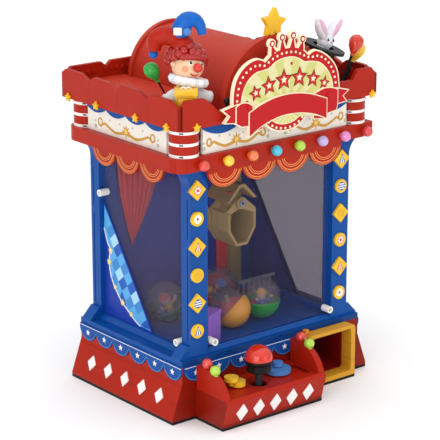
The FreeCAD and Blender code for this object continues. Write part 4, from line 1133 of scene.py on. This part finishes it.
# ---- prizes
CAPSULE_R = 22.5
CAPSULE_Z = 70.4 + CAPSULE_R + 0.05
CAPSULES = ((-17, -42, (0.8, 0.6, 0), -50), (31, -38, UP, 0),
            (18, 24, (1, 0, 0), 35), (-62, 20, (0, 1, 0), -30))


def capsule_toy(mesh, index):
    """A small generic figure in a brimmed hat, with raised arms and two balls beside it."""
    hat, suit, spare = (4 + (index + shift) % 3 for shift in range(3))
    lathe(mesh, [(3.6, -13), (5.2, -8), (5, -3), (3.4, 1), (0, 1.6)], (0, 0, -1), UP, 20, suit)
    lathe(mesh, [(7, 0), (7, 1), (4.6, 1.4), (3.9, 4.6), (0, 5.4)], (0, 0, 8.2), UP, 22, hat)
    ball(mesh, (0, 0, 4.6), 5.4, 7, 18)
    for side in (-1, 1):
        tube(mesh, [(side * 3.8, 0, -3), (side * 8, -3, -2), (side * 10.5, -5, 2)], 1.6, 10, suit)
        ball(mesh, (side * 10.8, -5.2, 3.2), 2, 7, 12)
    ball(mesh, (-9, 4, -6), 5.6, spare, 18)
    ball(mesh, (8, 7, -7), 4.6, hat, 18)


def capsule_parts():
    """Coloured cups with a stepped lip, and a small toy inside every capsule."""
    mesh = bmesh.new()
    inner = CAPSULE_R - 1.9
    cup = ball_profile(CAPSULE_R, 14, high=0) + [(CAPSULE_R, 0), (CAPSULE_R - 0.5, 0.9), (inner, 0.9)]
    cup += [around(0, 0, inner, -pi / 2 * k / 12) for k in range(1, 12)] + [(0, -inner)]
    for index, (x, y, axis, tilt) in enumerate(CAPSULES):
        done = len(mesh.verts)
        lathe(mesh, cup, (0, 0, 0), UP, 44, index)
        capsule_toy(mesh, index)
        if index == 0:
            lathe(mesh, ball_profile(17, 12, low=-0.6, stretch=0.75), (0, 0, -1), UP, 32, 4)
            tube(mesh, [(-4, -13, 6), (5, -4, 14)], 2.4, 12, 8)
        matrix = Matrix.Translation((x, y, CAPSULE_Z)) @ Matrix.Rotation(radians(tilt), 4, Vector(axis))
        bmesh.ops.transform(mesh, matrix=matrix, verts=mesh.verts[done:])
    materials = [capsule_gold, green, gloss_red, capsule_pine, gloss_red, yellow, sand_blue, light_skin, tan]
    finish_piece("capsule_cups_and_toys", mesh, materials, 40, ["capsule_cups"])


def prize_box():
    """A purple paper-wrapped prize that leans in the front corner."""
    mesh = bmesh.new()
    soft_box(mesh, (-70, -62, 88.6), (30, 22, 36), 24, 0.7)
    soft_box(mesh, (-70, -62, 104.6), (31.4, 23.4, 5), 24, 0.6)
    finish_piece("prize_box", mesh, [purple])


def moving_details():
    """A red pin in the claw's hood, and the black ring under the joystick's ball."""
    mesh = bmesh.new()
    soft_box(mesh, (-13, -34, 228.2), (4, 6, 2.4), 0, 0.5, 0)
    finish_piece("claw_pin", mesh, [gloss_red], body="claw")
    mesh = bmesh.new()
    ring = [(5, 0), (13, 0), (13.8, 0.8), (13.8, 8.2), (14.6, 9), (5, 9)]
    lathe(mesh, ring, (*STICK_PLACE, 51), UP, 32)
    finish_piece("stick_ring", mesh, [black], 40, body="stick")


# ---- stage
def floor():
    """A large pale floor just under the base."""
    mesh = bmesh.new()
    lowered = Matrix.Translation((0, 0, -0.02 * MM))
    bmesh.ops.create_grid(mesh, x_segments=1, y_segments=1, size=14000 * MM, matrix=lowered)
    data = bpy.data.meshes.new("floor")
    mesh.to_mesh(data)
    mesh.free()
    look = Finish("pale_floor")
    look.set(Base_Color=(0.93, 0.93, 0.93, 1), Roughness=0.85, Specular_IOR_Level=0.15)
    data.materials.append(look.material)
    add_object("floor", data)


def studio_light():
    """A white surrounding that is brighter from above, and three soft lamps."""
    world = bpy.data.worlds.new("studio")
    bpy.context.scene.world = world
    world.use_nodes = True
    tree = world.node_tree
    coords = tree.nodes.new("ShaderNodeTexCoord")
    split = tree.nodes.new("ShaderNodeSeparateXYZ")
    tree.links.new(coords.outputs["Generated"], split.inputs[0])
    rise = tree.nodes.new("ShaderNodeMapRange")
    rise.inputs["From Max"].default_value = 1
    rise.inputs["To Min"].default_value = 0.30
    rise.inputs["To Max"].default_value = 1.55
    tree.links.new(split.outputs["Z"], rise.inputs["Value"])
    tree.links.new(rise.outputs[0], tree.nodes["Background"].inputs["Strength"])
    tree.nodes["Background"].inputs["Color"].default_value = (1, 1, 1, 1)

    lamps = (("key", (-1.6, -1, 0.6), 1.2, 11), ("fill", (0.5, -1.9, 0.35), 1.2, 5),
             ("top", (0.1, 0.2, 2), 1.6, 2.5))
    for name, place, size, power in lamps:
        lamp = bpy.data.lights.new(name, "AREA")
        lamp.size, lamp.energy = size, power
        holder = add_object(name, lamp)
        holder.location = place
        aim = Vector((0, 0, 0.22)) - Vector(place)
        holder.rotation_euler = aim.to_track_quat("-Z", "Y").to_euler()


CAMERA_PLACE = (-1.3384, -1.6566, 0.8300)
CAMERA_BACK = (-0.6016, -0.7444, 0.2896)
FOCAL_PIXELS, IMAGE_PIXELS, SENSOR = 1935, 440, 36


def camera():
    """The camera stands at the front left, a little above the roof."""
    data = bpy.data.cameras.new("camera")
    data.sensor_width = SENSOR
    data.lens = FOCAL_PIXELS / IMAGE_PIXELS * SENSOR
    data.clip_end = 60
    holder = add_object("camera", data)
    holder.location = CAMERA_PLACE
    holder.rotation_euler = (-Vector(CAMERA_BACK)).to_track_quat("-Z", "Y").to_euler()
    bpy.context.scene.camera = holder
    bpy.context.scene.view_settings.view_transform = "Standard"


for build in (finish_cad, tile_prints, skirt_prints, drape_prints, frieze_prints, side_panel_prints,
              column_notches, parapet_studs, console_marks, lamp_globes, curtains, sign, clown_face,
              clown_hair_and_hat, clown_clothes, parcel, rabbit, balloons, capsule_parts, prize_box,
              moving_details, floor, studio_light, camera):
    build()
